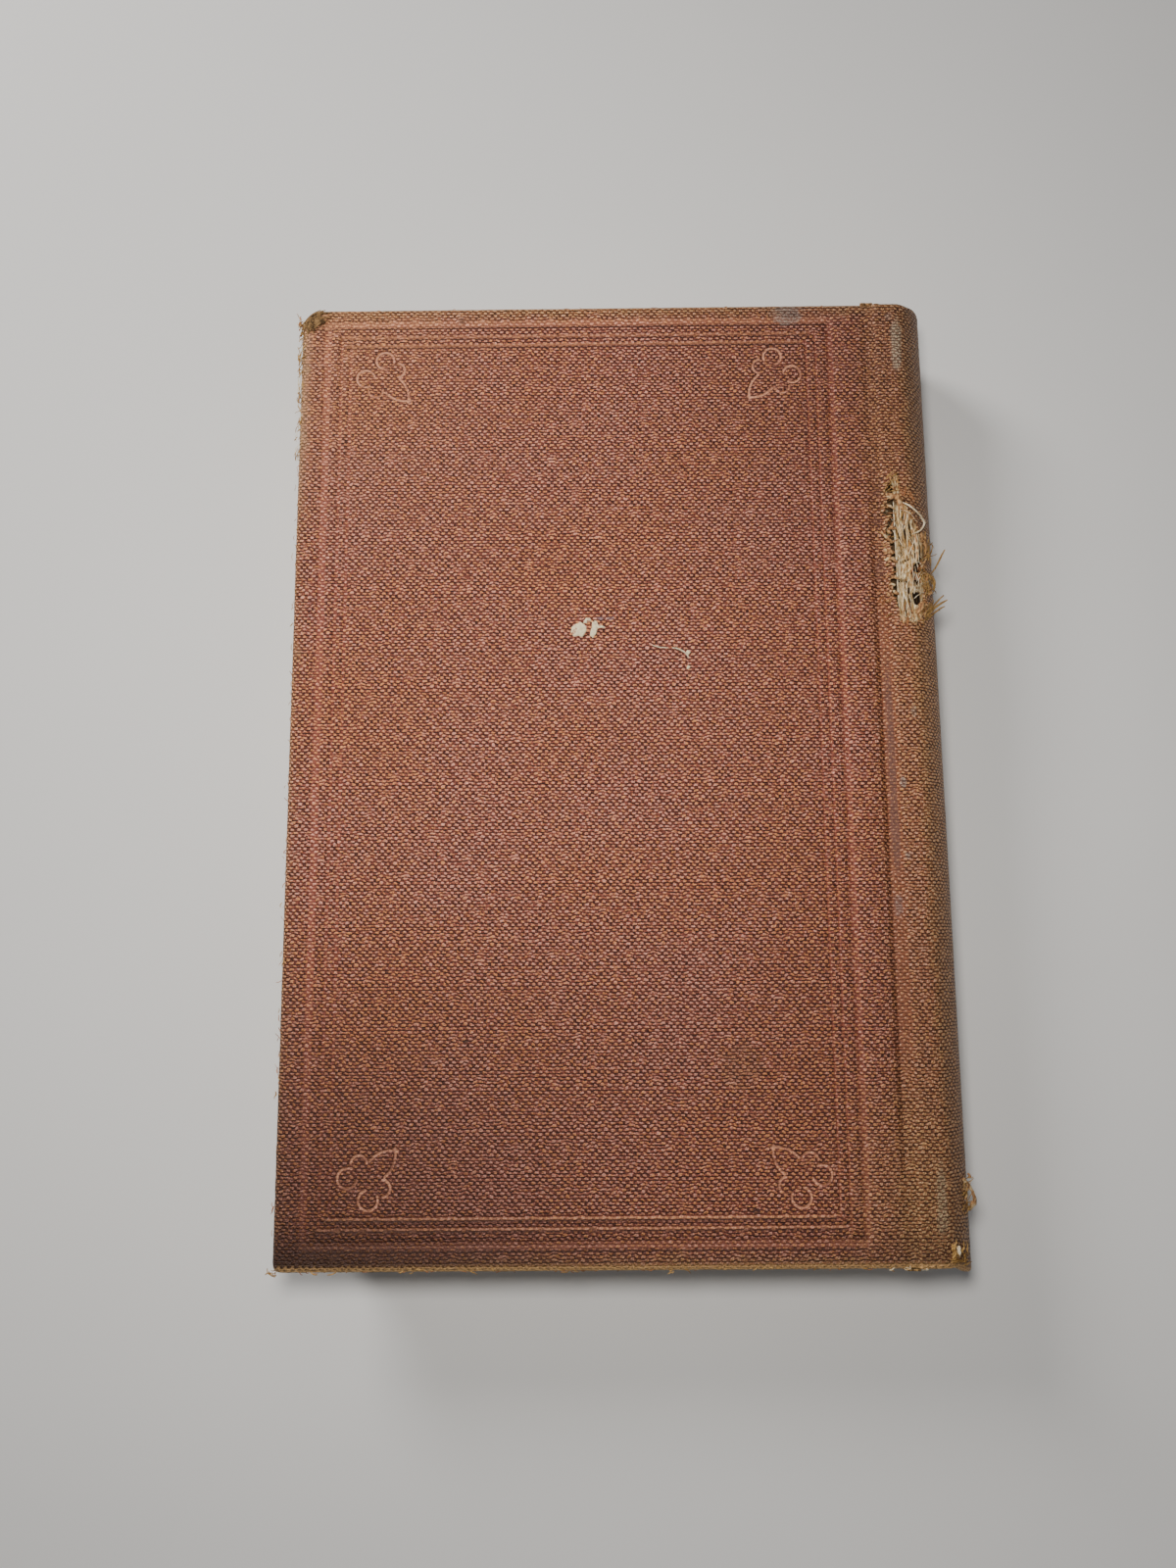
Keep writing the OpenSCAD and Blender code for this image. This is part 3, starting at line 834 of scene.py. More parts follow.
def cut_out(bm, moved, outlines):
    """Delete the upper side's faces whose middles, once moved, lie inside one of the outlines."""
    gone = []
    for face in bm.faces:
        middle = face.calc_center_median() * 1000
        u, y = moved(middle.x - JOINT, middle.y)
        if middle.z > MIDDLE and any(inside(u, y, outline) for outline in outlines):
            gone.append(face)
    bmesh.ops.delete(bm, geom=gone, context="FACES")


def ridged(u, h, y, length):
    """The card lies flat under the cloth and rises in straws where the tear bares it."""
    if h < 0 or abs(y - TEAR_Y) > TEAR_REACH or not inside(*ragged(u, y), TEAR):
        return CARD_DEPTH, 0.0
    fibre = ripple(length * 2.6, y * 0.12, 1.0)
    fibre += 0.6 * ripple(length * 6.1, y * 0.3, 4.0)
    lump = ripple(length * 0.9, y * 0.35, 7.0)
    torn = fade(abs(y - TEAR_Y), 17, 14) * fade(outline_gap(*ragged(u, y), TEAR), 0.0, 0.5)
    straws = abs(ripple(length * 1.7, y * 0.09, 12.0))
    step = 0.16 * fade(y, 36.9, 37.3) - 0.12 * fade(y, 32.7, 33.2)
    return CARD_DEPTH + torn * (0.2 * fibre + 0.2 * lump - 0.45 * straws + step + 0.12), 0.0


def straw_card(start):
    sheet = start.node("UVMap", {"uv_map": "sheet"}, {}).stretch(1000, 1000, 1000)
    straw = sheet.stretch(1, 0.07, 1).cloud(0.42, 4)
    fine = sheet.stretch(1, 0.12, 1).cloud(0.14, 3, 3.0)
    dirt = sheet.stretch(1, 0.5, 1).cloud(2.2, 4, 6.0)
    tone = (straw * 0.6 + fine * 0.4).smooth(0.38, 0.58)
    colour = tone.mix((0.17, 0.066, 0.018), (0.95, 0.62, 0.26))
    colour = fine.smooth(0.47, 0.6).mix(colour, (1.0, 0.86, 0.56))
    colour = dirt.smooth(0.56, 0.7).mix(colour, (0.2, 0.12, 0.06))
    colour = dirt.smooth(0.4, 0.3).mix(colour, (0.6, 0.27, 0.07))
    # Painted shade: near-black where the rim layer marks the cracks, the splits and the card's torn left
    # edge.
    colour = (start.painted("rim") + fine - 0.5).smooth(0.3, 0.8).mix(colour, (0.022, 0.01, 0.005))
    return colour, 0.8 + fine * 0.15, straw + fine * 0.8, 0.4


bm = bmesh.new()
section = [p for p in spine_section(0.2, 1.2) if p[0] > 2.15]
rows = stations(-88.55, 88.55, 6.0, [(23, 56, 0.3)])
layers = spine_strip(bm, section, rows, ridged)
for v in bm.verts:
    u = v.co.x * 1000 - JOINT
    y = v.co.y * 1000
    upper = v.co.z * 1000 > MIDDLE
    if upper and u < 3.6 and abs(y - 38) < 15:
        bite = 0.62 + 0.3 * ripple(y * 0.9, 3.3, 1.0) + 0.2 * ripple(y * 3.1, 1.3, 6.0)
        v.co.x += bite * fade(abs(y - 38), 15, 12) * (3.6 - u) / 1.4 / 1000
        u = v.co.x * 1000 - JOINT
    # The rim layer marks the cracks, the splits and the card's torn left edge, which sink a little and are
    # painted near-black as shade.
    if upper and 22 < y < 56 and u < 9:
        deep = [fade(outline_gap(u, y, crack), 0.55, 0.15) for crack in CRACKS]
        deep += [fade(outline_gap(u, y, split), 0.28, 0.02) for split in SPLITS]
        deep.append(fade(u + 0.3 * ripple(y * 2, 1.0, 1.0), 3.1, 2.7))
        v[layers["rim"]] = max(deep)
        v.co.z -= 0.00022 * max(deep)
cut_out(bm, shaky, CRACKS)
unfold(bm, layers)
card = make("spine_card", bm, finish("Straw card", 0.2, straw_card))
thicken(card, CARD)
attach(card, "book_block")
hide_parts("spine_inlay")


# Covering cloth of the spine: the same cloth, faded to tan, folded in at head and tail round the
# card and glued down in the joints. It is torn open along the upper ridge, its lips curled outwards.
def curled(u, h, y, length):
    rub = 0.03 * ripple(length / 3, y / 9, 1.0) * fade(u, 0.8, 3)
    rub -= (HALF_T - FLOOR_H - joint_sink(y)) * fade(u, 2.2, 0.85)
    if h < 0 or abs(y - TEAR_Y) > TEAR_REACH:
        return rub, 0.0
    gap = outline_gap(*ragged(u, y), TEAR)
    curl = fade(gap, 1.1, 0.0) * (0.22 + 0.5 * ripple(u, y / 1.6, 30.0))
    return rub - max(curl, 0), fade(gap, 0.9, 0.0)


bm = bmesh.new()
section = spine_section(0.25, 0.9)
rows = stations(-88.6, 88.6, 2.2, [(23, 57, 0.25)])
layers = spine_strip(bm, section, rows, curled)
cut_out(bm, ragged, (TEAR,))
lips = [v for v in bm.verts if v.is_boundary and 20 < v.co.y * 1000 < 60 and v.co.x * 1000 > JOINT + 1]
for turn in range(3):
    bmesh.ops.smooth_vert(bm, verts=lips, factor=0.5, use_axis_x=True, use_axis_y=True, use_axis_z=True)
fold = [e for e in bm.edges if e.is_boundary and all(abs(v.co.y) > 0.0885 for v in e.verts)]
for share, inset in ((0.08, 0.14), (0.27, 0.0), (0.55, -0.02), (0.85, 0.02), (1.0, 0.4), (1.0, TURN_IN)):
    points, fold = grow(bm, fold)
    for v in points:
        length = v[layers["su"]]
        u, h, nu, nh, _ = min(section, key=lambda p: abs(p[4] - length))
        thick = 2 * CLOTH + CARD_ROOM * fade(u, 1.6, 2.4)
        depth = thick * share
        y = math.copysign(HALF_H - inset, v.co.y)
        depth -= (HALF_T - FLOOR_H - joint_sink(y)) * fade(u, 2.2, 0.85)
        v.co = place(u - nu * depth, y + crushed(u, y), h - nh * depth)
        v[layers["sv"]] = math.copysign(HALF_H + depth + (inset if inset > 1 else 0), y)
        v[layers["rim"]] = 1.0 if inset < 1 else 0.0
unfold(bm, layers)
sharpen(bm)
spine = make("spine_cover_cloth", bm, BACK_CLOTH)
thicken(spine, CLOTH)
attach(spine, "book_block")
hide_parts("spine_cloth")


# Torn ends of the spine cloth's threads and of the card's fibres, sprung up out of the tear.
# Some lie along the card, some stand off in loops, and a strip of cloth still bridges the top.
EYE_X = 55.87
EYE_Y = -37.35
EYE_H = 205.68


def back_height(u):
    """Height and outward direction of the spine's outer face at a distance from the joint."""
    if u < 0.88:
        return FLOOR_H, 0.0, 1.0
    if u < ROLL_U:
        rise = math.sqrt(max(ROLL_R**2 - (ROLL_U - u) ** 2, 0.01))
        return ROLL_H + rise, (u - ROLL_U) / ROLL_R, rise / ROLL_R
    if u < RIDGE_U:
        return HALF_T, 0.0, 1.0
    if u < 7.07:
        rise = math.sqrt(RIDGE_R**2 - (u - RIDGE_U) ** 2)
        return RIDGE_H + rise, (u - RIDGE_U) / RIDGE_R, rise / RIDGE_R
    rise = math.sqrt(BACK_R**2 - (u - BACK_X) ** 2)
    return rise, (u - BACK_X) / BACK_R, rise / BACK_R


def seen(x, y, lift):
    """Where a place that the photograph shows, measured on the cover's plane, lies on the book."""
    depth = 0.0
    for turn in range(8):
        spread = (EYE_H + depth) / EYE_H
        u = EYE_X + (x - EYE_X) * spread - COVER_W
        h, nu, nh = back_height(min(u, 10.9)) if u > -1 else (HALF_T, 0.0, 1.0)
        depth = HALF_T - h
    return place(u + nu * lift, EYE_Y + (y - EYE_Y) * spread, h + nh * lift)


def strands(name, runs, material, body):
    """Round threads, each a run of points with a radius in millimetres, tapering at its ends."""
    curve = bpy.data.curves.new(name, "CURVE")
    curve.dimensions = "3D"
    curve.bevel_depth = 0.001
    curve.bevel_resolution = 1
    curve.use_fill_caps = True
    curve.resolution_u = 3
    for radius, points in runs:
        spline = curve.splines.new("NURBS")
        spline.points.add(len(points) - 1)
        for i, (dot, spot) in enumerate(zip(spline.points, points)):
            dot.co = (*spot, 1)
            end = i in (0, len(points) - 1)
            dot.radius = radius * (0.55 if end else 1)
        spline.use_endpoint_u = True
        spline.order_u = min(4, len(points))
    rough = bpy.data.objects.new(name + "_curve", curve)
    bpy.context.collection.objects.link(rough)
    bpy.context.view_layer.update()
    made = bpy.data.meshes.new_from_object(rough.evaluated_get(bpy.context.evaluated_depsgraph_get()))
    bpy.data.objects.remove(rough)
    made.name = name
    for polygon in made.polygons:
        polygon.use_smooth = True
    made.materials.clear()
    made.materials.append(material)
    piece = bpy.data.objects.new(name, made)
    bpy.context.collection.objects.link(piece)
    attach(piece, body)
    return piece


def fibre_finish(name, dark, light):
    def build(start):
        p = in_object(start)
        streak = p.cloud(0.3, 3)
        shade = p.cloud(1.4, 2, 5.0)
        colour = (streak * 0.5 + shade * 0.5).smooth(0.34, 0.64).mix(dark, light)
        return colour, 0.75 + streak * 0.15, streak, 0.05

    return finish(name, 0.2, build)


def run(radius, *points):
    return radius, [seen(*point) for point in points]


chance = random.Random(7)


def wisps(count, box, length, lift, lean, radius, curl):
    """Short fibres scattered over a box of the photograph, most of them leaning one way."""
    x0, x1, y0, y1 = box
    made = []
    for i in range(count):
        x = chance.uniform(x0, x1)
        y = chance.uniform(y0, y1)
        turn = math.radians(lean + chance.gauss(0, 22))
        reach = length * chance.uniform(0.5, 1.4)
        base = chance.uniform(*lift)
        points = []
        for k in range(5):
            t = k / 4
            bend = curl * math.sin(t * math.pi * chance.uniform(0.8, 1.3)) * chance.choice((-1, 1))
            px = x + math.cos(turn) * reach * (t - 0.5) - math.sin(turn) * bend * 0.5
            py = y + math.sin(turn) * reach * (t - 0.5) + math.cos(turn) * bend * 0.5
            points.append(seen(px, py, base + abs(bend) * 0.6 * t))
        made.append((radius * chance.uniform(0.6, 1.3), points))
    return made


def tufts(*rows):
    """Wisps over one box after another."""
    return [wisp for row in rows for wisp in wisps(*row)]


CREAM = fibre_finish("Bleached thread", (0.5, 0.35, 0.17), (0.94, 0.82, 0.6))
GOLD = fibre_finish("Old gold thread", (0.19, 0.09, 0.022), (0.6, 0.36, 0.12))
RED = fibre_finish("Red-brown thread", (0.12, 0.04, 0.015), (0.6, 0.25, 0.1))
pale = [
    run(0.18, (114.5, 48.2, 0.1), (115.2, 47.6, 0.6), (115.9, 46.8, 0.8), (117.2, 45.2, 0.9),
        (118.2, 44, 0.4)),
    run(0.16, (117.3, 45, 0.5), (117.8, 44.2, 0.8), (117.6, 43.1, 0.7), (116.9, 42.2, 0.5),
        (116, 42, 0.1)),
    run(0.08, (113.2, 53.7, 0), (113.3, 52.4, 0.4), (113.2, 50.8, 0)),
    run(0.13, (112.8, 48.6, -0.2), (112.7, 44, -0.1), (112.85, 38, -0.2), (112.75, 31, -0.1),
        (112.9, 26, -0.2)),
    run(0.1, (116.3, 42.2, -0.1), (116.5, 40, 0.1), (116.6, 37.2, 0), (116.4, 36.3, -0.1)),
    run(0.18, (116.9, 42, -0.1), (117, 39.6, 0.1), (116.9, 36.6, 0)),
    run(0.07, (116.3, 31.2, 0), (117, 31, 0.4), (118.6, 31.2, 0.3)),
    run(0.08, (115, 26, 0), (115.4, 25.2, 0.4), (115.9, 24.8, 0.2)),
    run(0.1, (115.3, 25.1, 0.3), (115.5, 24.9, 0.5), (115.7, 25.2, 0.3)),
    run(0.07, (116.4, 36.4, 0), (116.7, 36.6, 0.4), (117, 36.2, 0.5), (117.2, 35, 0.2)),
    run(0.06, (113.4, 46.6, -0.1), (114.6, 46.9, 0.5), (115.8, 46, 0.6), (116.6, 44.4, 0.3)),
    run(0.06, (115.6, 31.6, 0.1), (116.5, 30.4, 0.4), (117.8, 30, 0.5), (118.8, 30.6, 0.3)),
]
pale += tufts(
    (30, (112.9, 115.7, 27, 47), 5.5, (-0.46, -0.22), 91, 0.07, 0.12),
    (14, (115.6, 116.8, 30, 43), 3, (-0.35, 0), 92, 0.07, 0.2),
    (8, (116, 118.6, 30, 35), 1.8, (0, 0.5), 40, 0.05, 0.5),
)
gold = [
    run(0.11, (110.8, 51.4, 0), (111.3, 52.7, 0.4), (112.2, 53.9, 0.5), (113, 54.3, 0.1)),
    run(0.2, (119, 34.3, 0.2), (119.9, 35.5, 0.5), (120.3, 37.5, 0.7), (121, 38.7, 0.9)),
    run(0.21, (118.3, 34.2, 0.1), (119.2, 33.4, 0.6), (119.5, 32.2, 0.5), (119.3, 31, 0)),
    run(0.24, (117.4, 25.4, 0), (118.4, 27.2, 0.4), (119.8, 28.3, 0.5), (121.2, 29, 0.6)),
    run(0.18, (117.6, 25.8, 0), (118.6, 27.8, 0.5), (119.7, 29.2, 0.6), (120.6, 29.9, 0.6)),
    run(0.18, (117.8, 25.2, 0), (119, 26.7, 0.3), (120.1, 27.5, 0.4), (120.9, 27.8, 0.4)),
    run(0.07, (117.9, 26.6, 0), (118.9, 27.1, 0.4), (120, 27, 0.4)),
    run(0.15, (117.9, 38.2, 0.1), (118.2, 40, 0.5), (118.1, 42.4, 0.3)),
    run(0.14, (116, 34.6, -0.1), (117.2, 33.7, 0.5), (118.4, 33.6, 0.6), (119, 32.6, 0.3)),
]
gold += tufts(
    (20, (116.9, 119, 30.8, 34.6), 2.6, (0, 0.6), 118, 0.09, 0.7),
    (10, (118.2, 119, 36.5, 41.2), 2.6, (0.1, 0.5), 84, 0.1, 0.4),
    (26, (112.9, 115.8, 27, 48), 4.5, (-0.46, -0.26), 91, 0.07, 0.15),
    (14, (117, 118.6, 25.2, 28.2), 2, (0, 0.6), 50, 0.07, 0.4),
    (16, (110.6, 113.4, 50.4, 54.4), 1.6, (-0.1, 0.4), 60, 0.06, 0.4),
    (12, (109.6, 112.5, 38, 42.5), 1.3, (0, 0.4), 12, 0.06, 0.3),
    (18, (118.4, 119.8, -79.4, -74), 2, (0.1, 0.6), 62, 0.08, 0.5),
)
red = tufts(
    (26, (110.6, 112.6, 26, 49), 1.4, (-0.3, 0.25), 20, 0.075, 0.3),
    (22, (113.2, 117.6, 24.2, 28.2), 1.8, (-0.2, 0.4), 76, 0.07, 0.3),
    (10, (108.9, 110.4, 28, 31), 1.2, (-0.1, 0.3), 30, 0.07, 0.3),
    (16, (113.2, 117.2, 44.5, 50.6), 1.9, (-0.2, 0.3), 105, 0.07, 0.3),
    (10, (115.4, 117.4, 33, 36.5), 1.8, (-0.3, 0.3), 70, 0.07, 0.4),
)
strands("pale_torn_threads", pale, CREAM, "book_block")
strands("gold_torn_threads", gold, GOLD, "book_block")
strands("red_torn_threads", red, RED, "book_block")


# Shreds of the spine cloth that still cling across the tear and at its edges.
# Each is a narrow strip, curled a little along its length.
def shred(bm, points, width, twist):
    """A narrow strip of cloth along a run of points, bowed across its width."""
    places = [seen(*point) for point in points]
    count = 8
    strip = []
    for k in range(count + 1):
        t = k / count * (len(places) - 1)
        i = min(int(t), len(places) - 2)
        middle = places[i].lerp(places[i + 1], t - i)
        along = (places[i + 1] - places[i]).normalized()
        side = along.cross(Vector((0.25, 0, 1))).normalized()
        taper = math.sin(math.pi * (0.12 + 0.76 * k / count)) ** 0.5
        half = width / 2000 * (0.65 + 0.5 * noise.noise(middle * 900)) * taper
        up = side.cross(along)
        row = []
        for j in range(5):
            across = (j - 2) / 2
            bow = (1 - across * across) * 0.12 + twist * across * 0.3
            row.append(bm.verts.new(middle + side * half * across + up * bow / 1000))
        strip.append(row)
    for one, other in zip(strip, strip[1:]):
        for j in range(4):
            bm.faces.new((one[j], one[j + 1], other[j + 1], other[j]))


def torn_cloth(start):
    p = in_object(start)
    weave = p.stretch(1, 0.25, 1).cloud(0.3, 3)
    stain = p.cloud(1.3, 3, 4.0)
    colour = weave.smooth(0.36, 0.62).mix((0.17, 0.07, 0.03), (0.6, 0.33, 0.14))
    colour = stain.smooth(0.5, 0.68).mix(colour, (0.66, 0.5, 0.28))
    return colour, 0.75 + weave * 0.15, weave, 0.12


bm = bmesh.new()
for points, width, twist in (
    (((110.4, 49.5, 0), (111.6, 49.6, 0.35), (113, 49.3, 0.3), (114.3, 49.6, -0.05)), 1.9, 0.2),
    (((113.4, 49.4, 0), (113.9, 48.2, 0.2), (114.4, 46.8, -0.1)), 1, -0.5),
    (((115.2, 46.9, 0), (115.6, 45.8, 0.2), (115.7, 44.7, -0.1)), 0.9, 0.5),
    (((117.7, 42.8, 0), (118, 41.2, 0.4), (118.1, 39.4, 0.5), (118, 37.8, 0.3)), 1.1, 0.8),
    (((116.1, 43, -0.1), (116.5, 41, 0.1), (116.6, 38.6, 0.2), (116.5, 36.6, -0.1)), 0.8, -0.5),
    (((110.4, 42.6, 0), (111.3, 41.4, 0.4), (112.2, 40.2, 0.3)), 1.3, 0.6),
    (((110.6, 39.4, 0), (111.4, 38.6, 0.4), (112.4, 38.3, 0.1)), 1.1, -0.4),
    (((111.2, 48, 0), (112.1, 47.5, 0.3), (113, 46.9, 0)), 1.2, 0.5),
    (((111.4, 42.9, 0), (112.2, 43.2, 0.35), (113.1, 43, 0.05)), 0.9, -0.4),
    (((111.2, 37.5, 0), (112.1, 37.2, 0.3), (112.9, 36.5, 0)), 1.1, 0.6),
    (((111.4, 33.4, 0), (112.2, 33.6, 0.35), (113, 33.2, 0.1)), 1.1, 0.4),
    (((111.5, 31.1, 0), (112.2, 30.6, 0.3), (112.8, 30.2, 0)), 0.7, -0.5),
    (((116, 26.6, 0), (116.6, 27.6, 0.4), (117, 28.8, 0.2)), 1.2, 0.5),
    (((118.6, -74.2, 0.1), (119.4, -76, 0.7), (119.8, -77.8, 0.8), (119.2, -79.4, 0.2)), 1.4, 0.6),
):
    shred(bm, points, width, twist)
for x0, x1, y0, y1, count, lean in (
    (111, 111.7, 26, 49, 15, 0.3), (113.4, 117.4, 24.6, 26.4, 6, 1.4), (117.4, 118.6, 29.5, 42, 10, 1.5),
    (112.4, 113.6, 50.6, 53.6, 5, 1.2), (118.6, 119.5, -79.4, -73, 4, 1.2),
):
    for turn in range(count):
        x = chance.uniform(x0, x1)
        y = y0 + (y1 - y0) * (turn + chance.random()) / count
        lean_now = lean + chance.gauss(0, 0.5)
        reach = chance.uniform(0.7, 1.5)
        dx = math.cos(lean_now) * reach
        dy = math.sin(lean_now) * reach * chance.choice((-1, 1))
        lift = chance.uniform(0.1, 0.55)
        ends = ((x - dx / 2, y - dy / 2, 0.0), (x, y, lift), (x + dx / 2, y + dy / 2, lift * 0.4))
        shred(bm, ends, chance.uniform(0.5, 1.0), chance.uniform(-0.8, 0.8))
shreds = make("cloth_shreds", bm, finish("Torn cloth", 0.2, torn_cloth))
thicken(shreds, CLOTH / 2)
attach(shreds, "book_block")


# Worn corners and edges of the back cover, where the cloth's threads have frayed out.
# The corner at head and fore-edge is rubbed through to a bundle of dark threads bent round it.
corner = []
for turn in range(15):
    reach = 2.2 + turn * 0.2
    start = 180 + chance.uniform(-14, 8)
    sweep = -chance.uniform(60, 96)
    slant = chance.uniform(-0.25, 0.25)
    points = []
    for k in range(6):
        angle = math.radians(start + sweep * k / 5)
        r = reach + slant * (k - 2.5) / 5 + 0.03 * chance.uniform(-1, 1)
        lift = 0.06 + 0.1 * math.sin(math.pi * k / 5) * chance.random() - 0.9 * max(0, reach - 4.4)
        points.append(seen(4.7 + r * math.cos(angle), 84.2 + r * math.sin(angle), lift))
    corner.append((chance.uniform(0.12, 0.17), points))
OLIVE = fibre_finish("Olive thread", (0.035, 0.018, 0.008), (0.36, 0.21, 0.085))
strands("worn_corner_threads", corner, OLIVE, "back_cover")
edge_red = tufts(
    (10, (-0.9, 0.1, 84, 87.6), 1, (-0.9, -0.3), 70, 0.13, 0.3),
    (60, (-0.35, 0.15, -86, 84), 1, (-1.2, -0.5), 88, 0.06, 0.25),
    (40, (3, 108, -89.1, -88.8), 0.9, (-1.2, -0.5), 8, 0.06, 0.25),
    (24, (6, 108, 88.6, 88.95), 0.9, (-0.9, -0.4), 4, 0.06, 0.25),
)
strands("red_edge_threads", edge_red, RED, "back_cover")
edge_pale = [
    run(0.09, (-0.6, 87.3, -0.4), (-0.9, 87.9, -0.2), (-1.1, 88.3, -0.3)),
    run(0.1, (-0.8, -88.2, -0.6), (-0.9, -89, -0.3), (-0.2, -89.5, -0.3), (0.8, -89.3, -0.5)),
]
edge_pale += tufts(
    (16, (-0.75, -0.1, 75.5, 80.4), 1.1, (-1, -0.3), 84, 0.07, 0.35),
    (8, (-0.7, -0.1, 69.6, 72.4), 1.1, (-1, -0.3), 84, 0.07, 0.35),
    (10, (-0.8, 1.4, -89.5, -88.4), 1, (-1, -0.2), 10, 0.09, 0.4),
    (5, (67.6, 69.2, -89.5, -88.9), 0.9, (-0.9, -0.4), 20, 0.07, 0.4),
    (46, (-0.5, 0.7, 58, 87), 1.4, (-0.5, 0.2), 72, 0.09, 0.35),
    (26, (-0.5, 0.5, -60, 58), 1.1, (-0.6, 0.12), 80, 0.07, 0.35),
    (30, (4, 108, -89.1, -88.4), 1.2, (-0.7, 0.1), 6, 0.09, 0.35),
)
strands("pale_edge_threads", edge_pale, GOLD, "back_cover")
edge_cream = tufts(
    (26, (-0.6, 0.4, 58, 88), 1.5, (-0.6, 0.3), 84, 0.07, 0.45),
    (12, (104, 112, -89.1, -88.5), 1, (-0.5, 0.1), 4, 0.08, 0.3),
)
strands("cream_edge_threads", edge_cream, CREAM, "back_cover")


# Scraps of pale paper that have stuck to the back cover, torn thin and dished between the grain.
# One larger pair lies at mid-height, with crumbs and a loose thread beside it.
def scrap(bm, points, thick):
    low = [bm.verts.new(place(x - COVER_W, y, HALF_T - 0.1)) for x, y in points]
    face = bm.faces.new(low)
    face.normal_update()
    if face.normal.z < 0:
        face.normal_flip()
    bmesh.ops.inset_individual(bm, faces=[face], thickness=0.00006, depth=thick * 0.8 / 1000)
    bmesh.ops.inset_individual(bm, faces=[face], thickness=0.00016, depth=thick * 0.2 / 1000)
    bmesh.ops.poke(bm, faces=[face], offset=thick * 0.1 / 1000)


def paper_scrap(start):
    p = in_object(start)
    pulp = p.cloud(0.4, 4)
    stain = p.cloud(0.9, 3, 3.0)
    colour = pulp.mix((0.62, 0.46, 0.24), (0.98, 0.9, 0.62))
    colour = stain.smooth(0.55, 0.66).mix(colour, (0.42, 0.2, 0.12))
    return colour, 0.8 + pulp * 0.1, pulp + stain, 0.12


bm = bmesh.new()
for points, thick in (
    (((51.8, 23.6), (52.3, 22.7), (53.2, 22.9), (53.9, 22.6), (54.4, 23.3), (54.9, 24.2), (54.3, 25.2),
      (53.6, 25.7), (52.8, 25.2), (52, 24.7)), 0.3),
    (((54.1, 25.4), (54.9, 25.3), (55.8, 25.7), (55.4, 26.3), (54.5, 26.2)), 0.26),
    (((55.3, 22.9), (56, 22.5), (56.5, 23.3), (56.9, 24.3), (58.2, 24.3), (58.1, 24.7), (56.9, 25),
      (56.5, 25.9), (55.8, 25.6), (55.5, 24.3)), 0.3),
    (((73.1, 16.5), (73.5, 16.3), (73.8, 16.8), (73.4, 17.2)), 0.24),
    (((73, 19.6), (73.5, 19), (73.8, 19.4), (73.3, 20)), 0.24),
):
    scrap(bm, points, thick)
bmesh.ops.subdivide_edges(bm, edges=bm.edges[:], cuts=1, use_grid_fill=True)
for v in bm.verts:
    v.co += Vector((1.1, 1.1, 1)) * (0.00018 * noise.noise(v.co * 1700))
scraps = make("paper_scraps", bm, finish("Paper scrap", 0.2, paper_scrap), smooth=False)
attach(scraps, "back_cover")
loose = [
    run(0.16, (70.5, 20.4, 0.04), (71.3, 20.35, 0.12), (72.1, 20, 0.12), (73.4, 19.2, 0.06),
        (73.5, 18.4, 0)),
    run(0.12, (66.9, 21, 0), (68, 20.3, 0.08), (69.2, 20.6, 0.08), (69.9, 20.35, 0.02)),
]
strands("loose_thread", loose, CREAM, "back_cover")


# Burst knob at the tail of the spine, where the folded cloth has worn through to the card's end.
# It is a small pale lump of pulp with a ring of frayed cloth round it.
bm = bmesh.new()
bmesh.ops.create_icosphere(bm, subdivisions=3, radius=0.0009)
middle = seen(117.2, -86.2, 0.0)
for v in bm.verts:
    bump = 1 + 0.5 * noise.noise(v.co * 1500)
    v.co = Vector((v.co.x * 0.55, v.co.y * 0.95, v.co.z * 0.6)) * bump + middle
    v.co += Vector((0, 0, 0.00015 * noise.noise(v.co * 4000)))
knob = make("spine_end_knob", bm, CREAM)
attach(knob, "book_block")
ring = tufts(
    (16, (116, 116.7, -87.4, -84.9), 1.5, (0, 0.45), 88, 0.1, 0.4),
    (12, (117.7, 118.4, -87.6, -84.9), 1.5, (0, 0.4), 88, 0.1, 0.4),
    (10, (116.2, 118.4, -88, -87.2), 1.3, (0, 0.35), 5, 0.09, 0.4),
)
strands("spine_end_threads", ring, GOLD, "book_block")


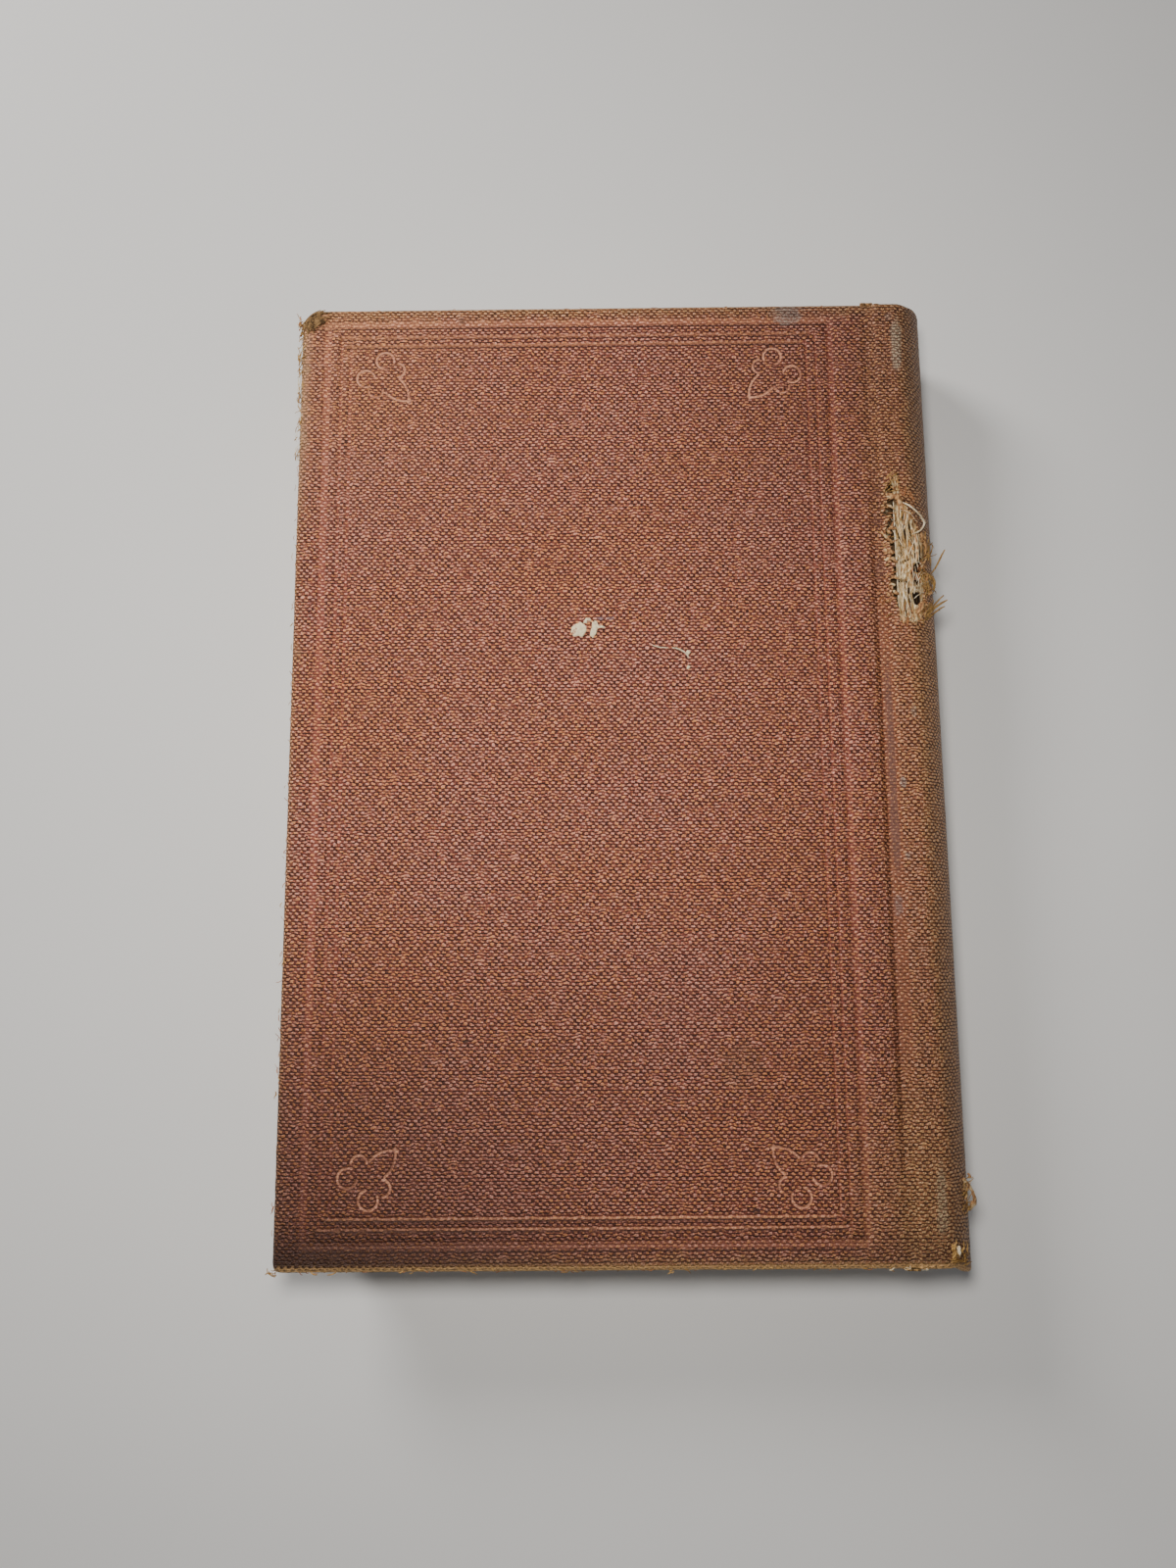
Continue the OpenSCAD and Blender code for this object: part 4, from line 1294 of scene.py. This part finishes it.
# Plain pale floor under the book, and a soft studio light. A small lamp overhead gives the grain its
# highlights, a larger one stands at the upper left of the photograph, and a wide weak one fills in.
def plaster(start):
    p = in_object(start)
    soft = p.cloud(60, 3)
    colour = soft.mix((0.74, 0.73, 0.71), (0.78, 0.77, 0.75))
    return colour, 0.7 + soft * 0.1, soft, 0.05


bm = bmesh.new()
bmesh.ops.create_grid(bm, x_segments=8, y_segments=8, size=1.5)
floor = make("floor", bm, finish("Pale floor", 0.3, plaster))


def lamp(name, spot, aim, size, watts, colour):
    data = bpy.data.lights.new(name, "AREA")
    data.shape = "DISK"
    data.size = size
    data.energy = watts
    data.color = colour
    light = bpy.data.objects.new(name, data)
    light.location = spot
    light.rotation_mode = "QUATERNION"
    light.rotation_quaternion = (Vector(aim) - Vector(spot)).to_track_quat("-Z", "Y")
    bpy.context.collection.objects.link(light)


lamp("key", (-0.02, 0.0, 0.25), (-0.005, 0.0, 0.02), 0.05, 0.5, (1.0, 0.97, 0.93))
lamp("window", (-0.34, 0.36, 0.3), (-0.02, 0.02, 0.02), 0.2, 2.3, (1.0, 0.98, 0.96))
lamp("fill", (0.55, -0.4, 0.5), (0, 0, 0.02), 0.6, 0.4, (1.0, 0.98, 0.95))
world = bpy.data.worlds.new("Studio")
world.use_nodes = True
background = world.node_tree.nodes["Background"].inputs
background["Color"].default_value = (0.9, 0.93, 1.0, 1)
background["Strength"].default_value = 0.1
bpy.context.scene.world = world


# The photograph's view: nearly straight down from above the tail, the head of the book away.
camera_data = bpy.data.cameras.new("photo_view")
camera_data.lens = 26.325
camera_data.sensor_width = 36
camera_data.clip_start = 0.01
camera = bpy.data.objects.new("photo_view", camera_data)
right = Vector((0.999943, -0.008244, -0.00678))
up = Vector((0.009199, 0.987773, 0.155627))
back = Vector((0.005414, -0.15568, 0.987793))
camera.matrix_world = Matrix((
    (right.x, up.x, back.x, -0.00513),
    (right.y, up.y, back.y, -0.03735),
    (right.z, up.z, back.z, 0.22768),
    (0, 0, 0, 1),
))
bpy.context.collection.objects.link(camera)
bpy.context.scene.camera = camera
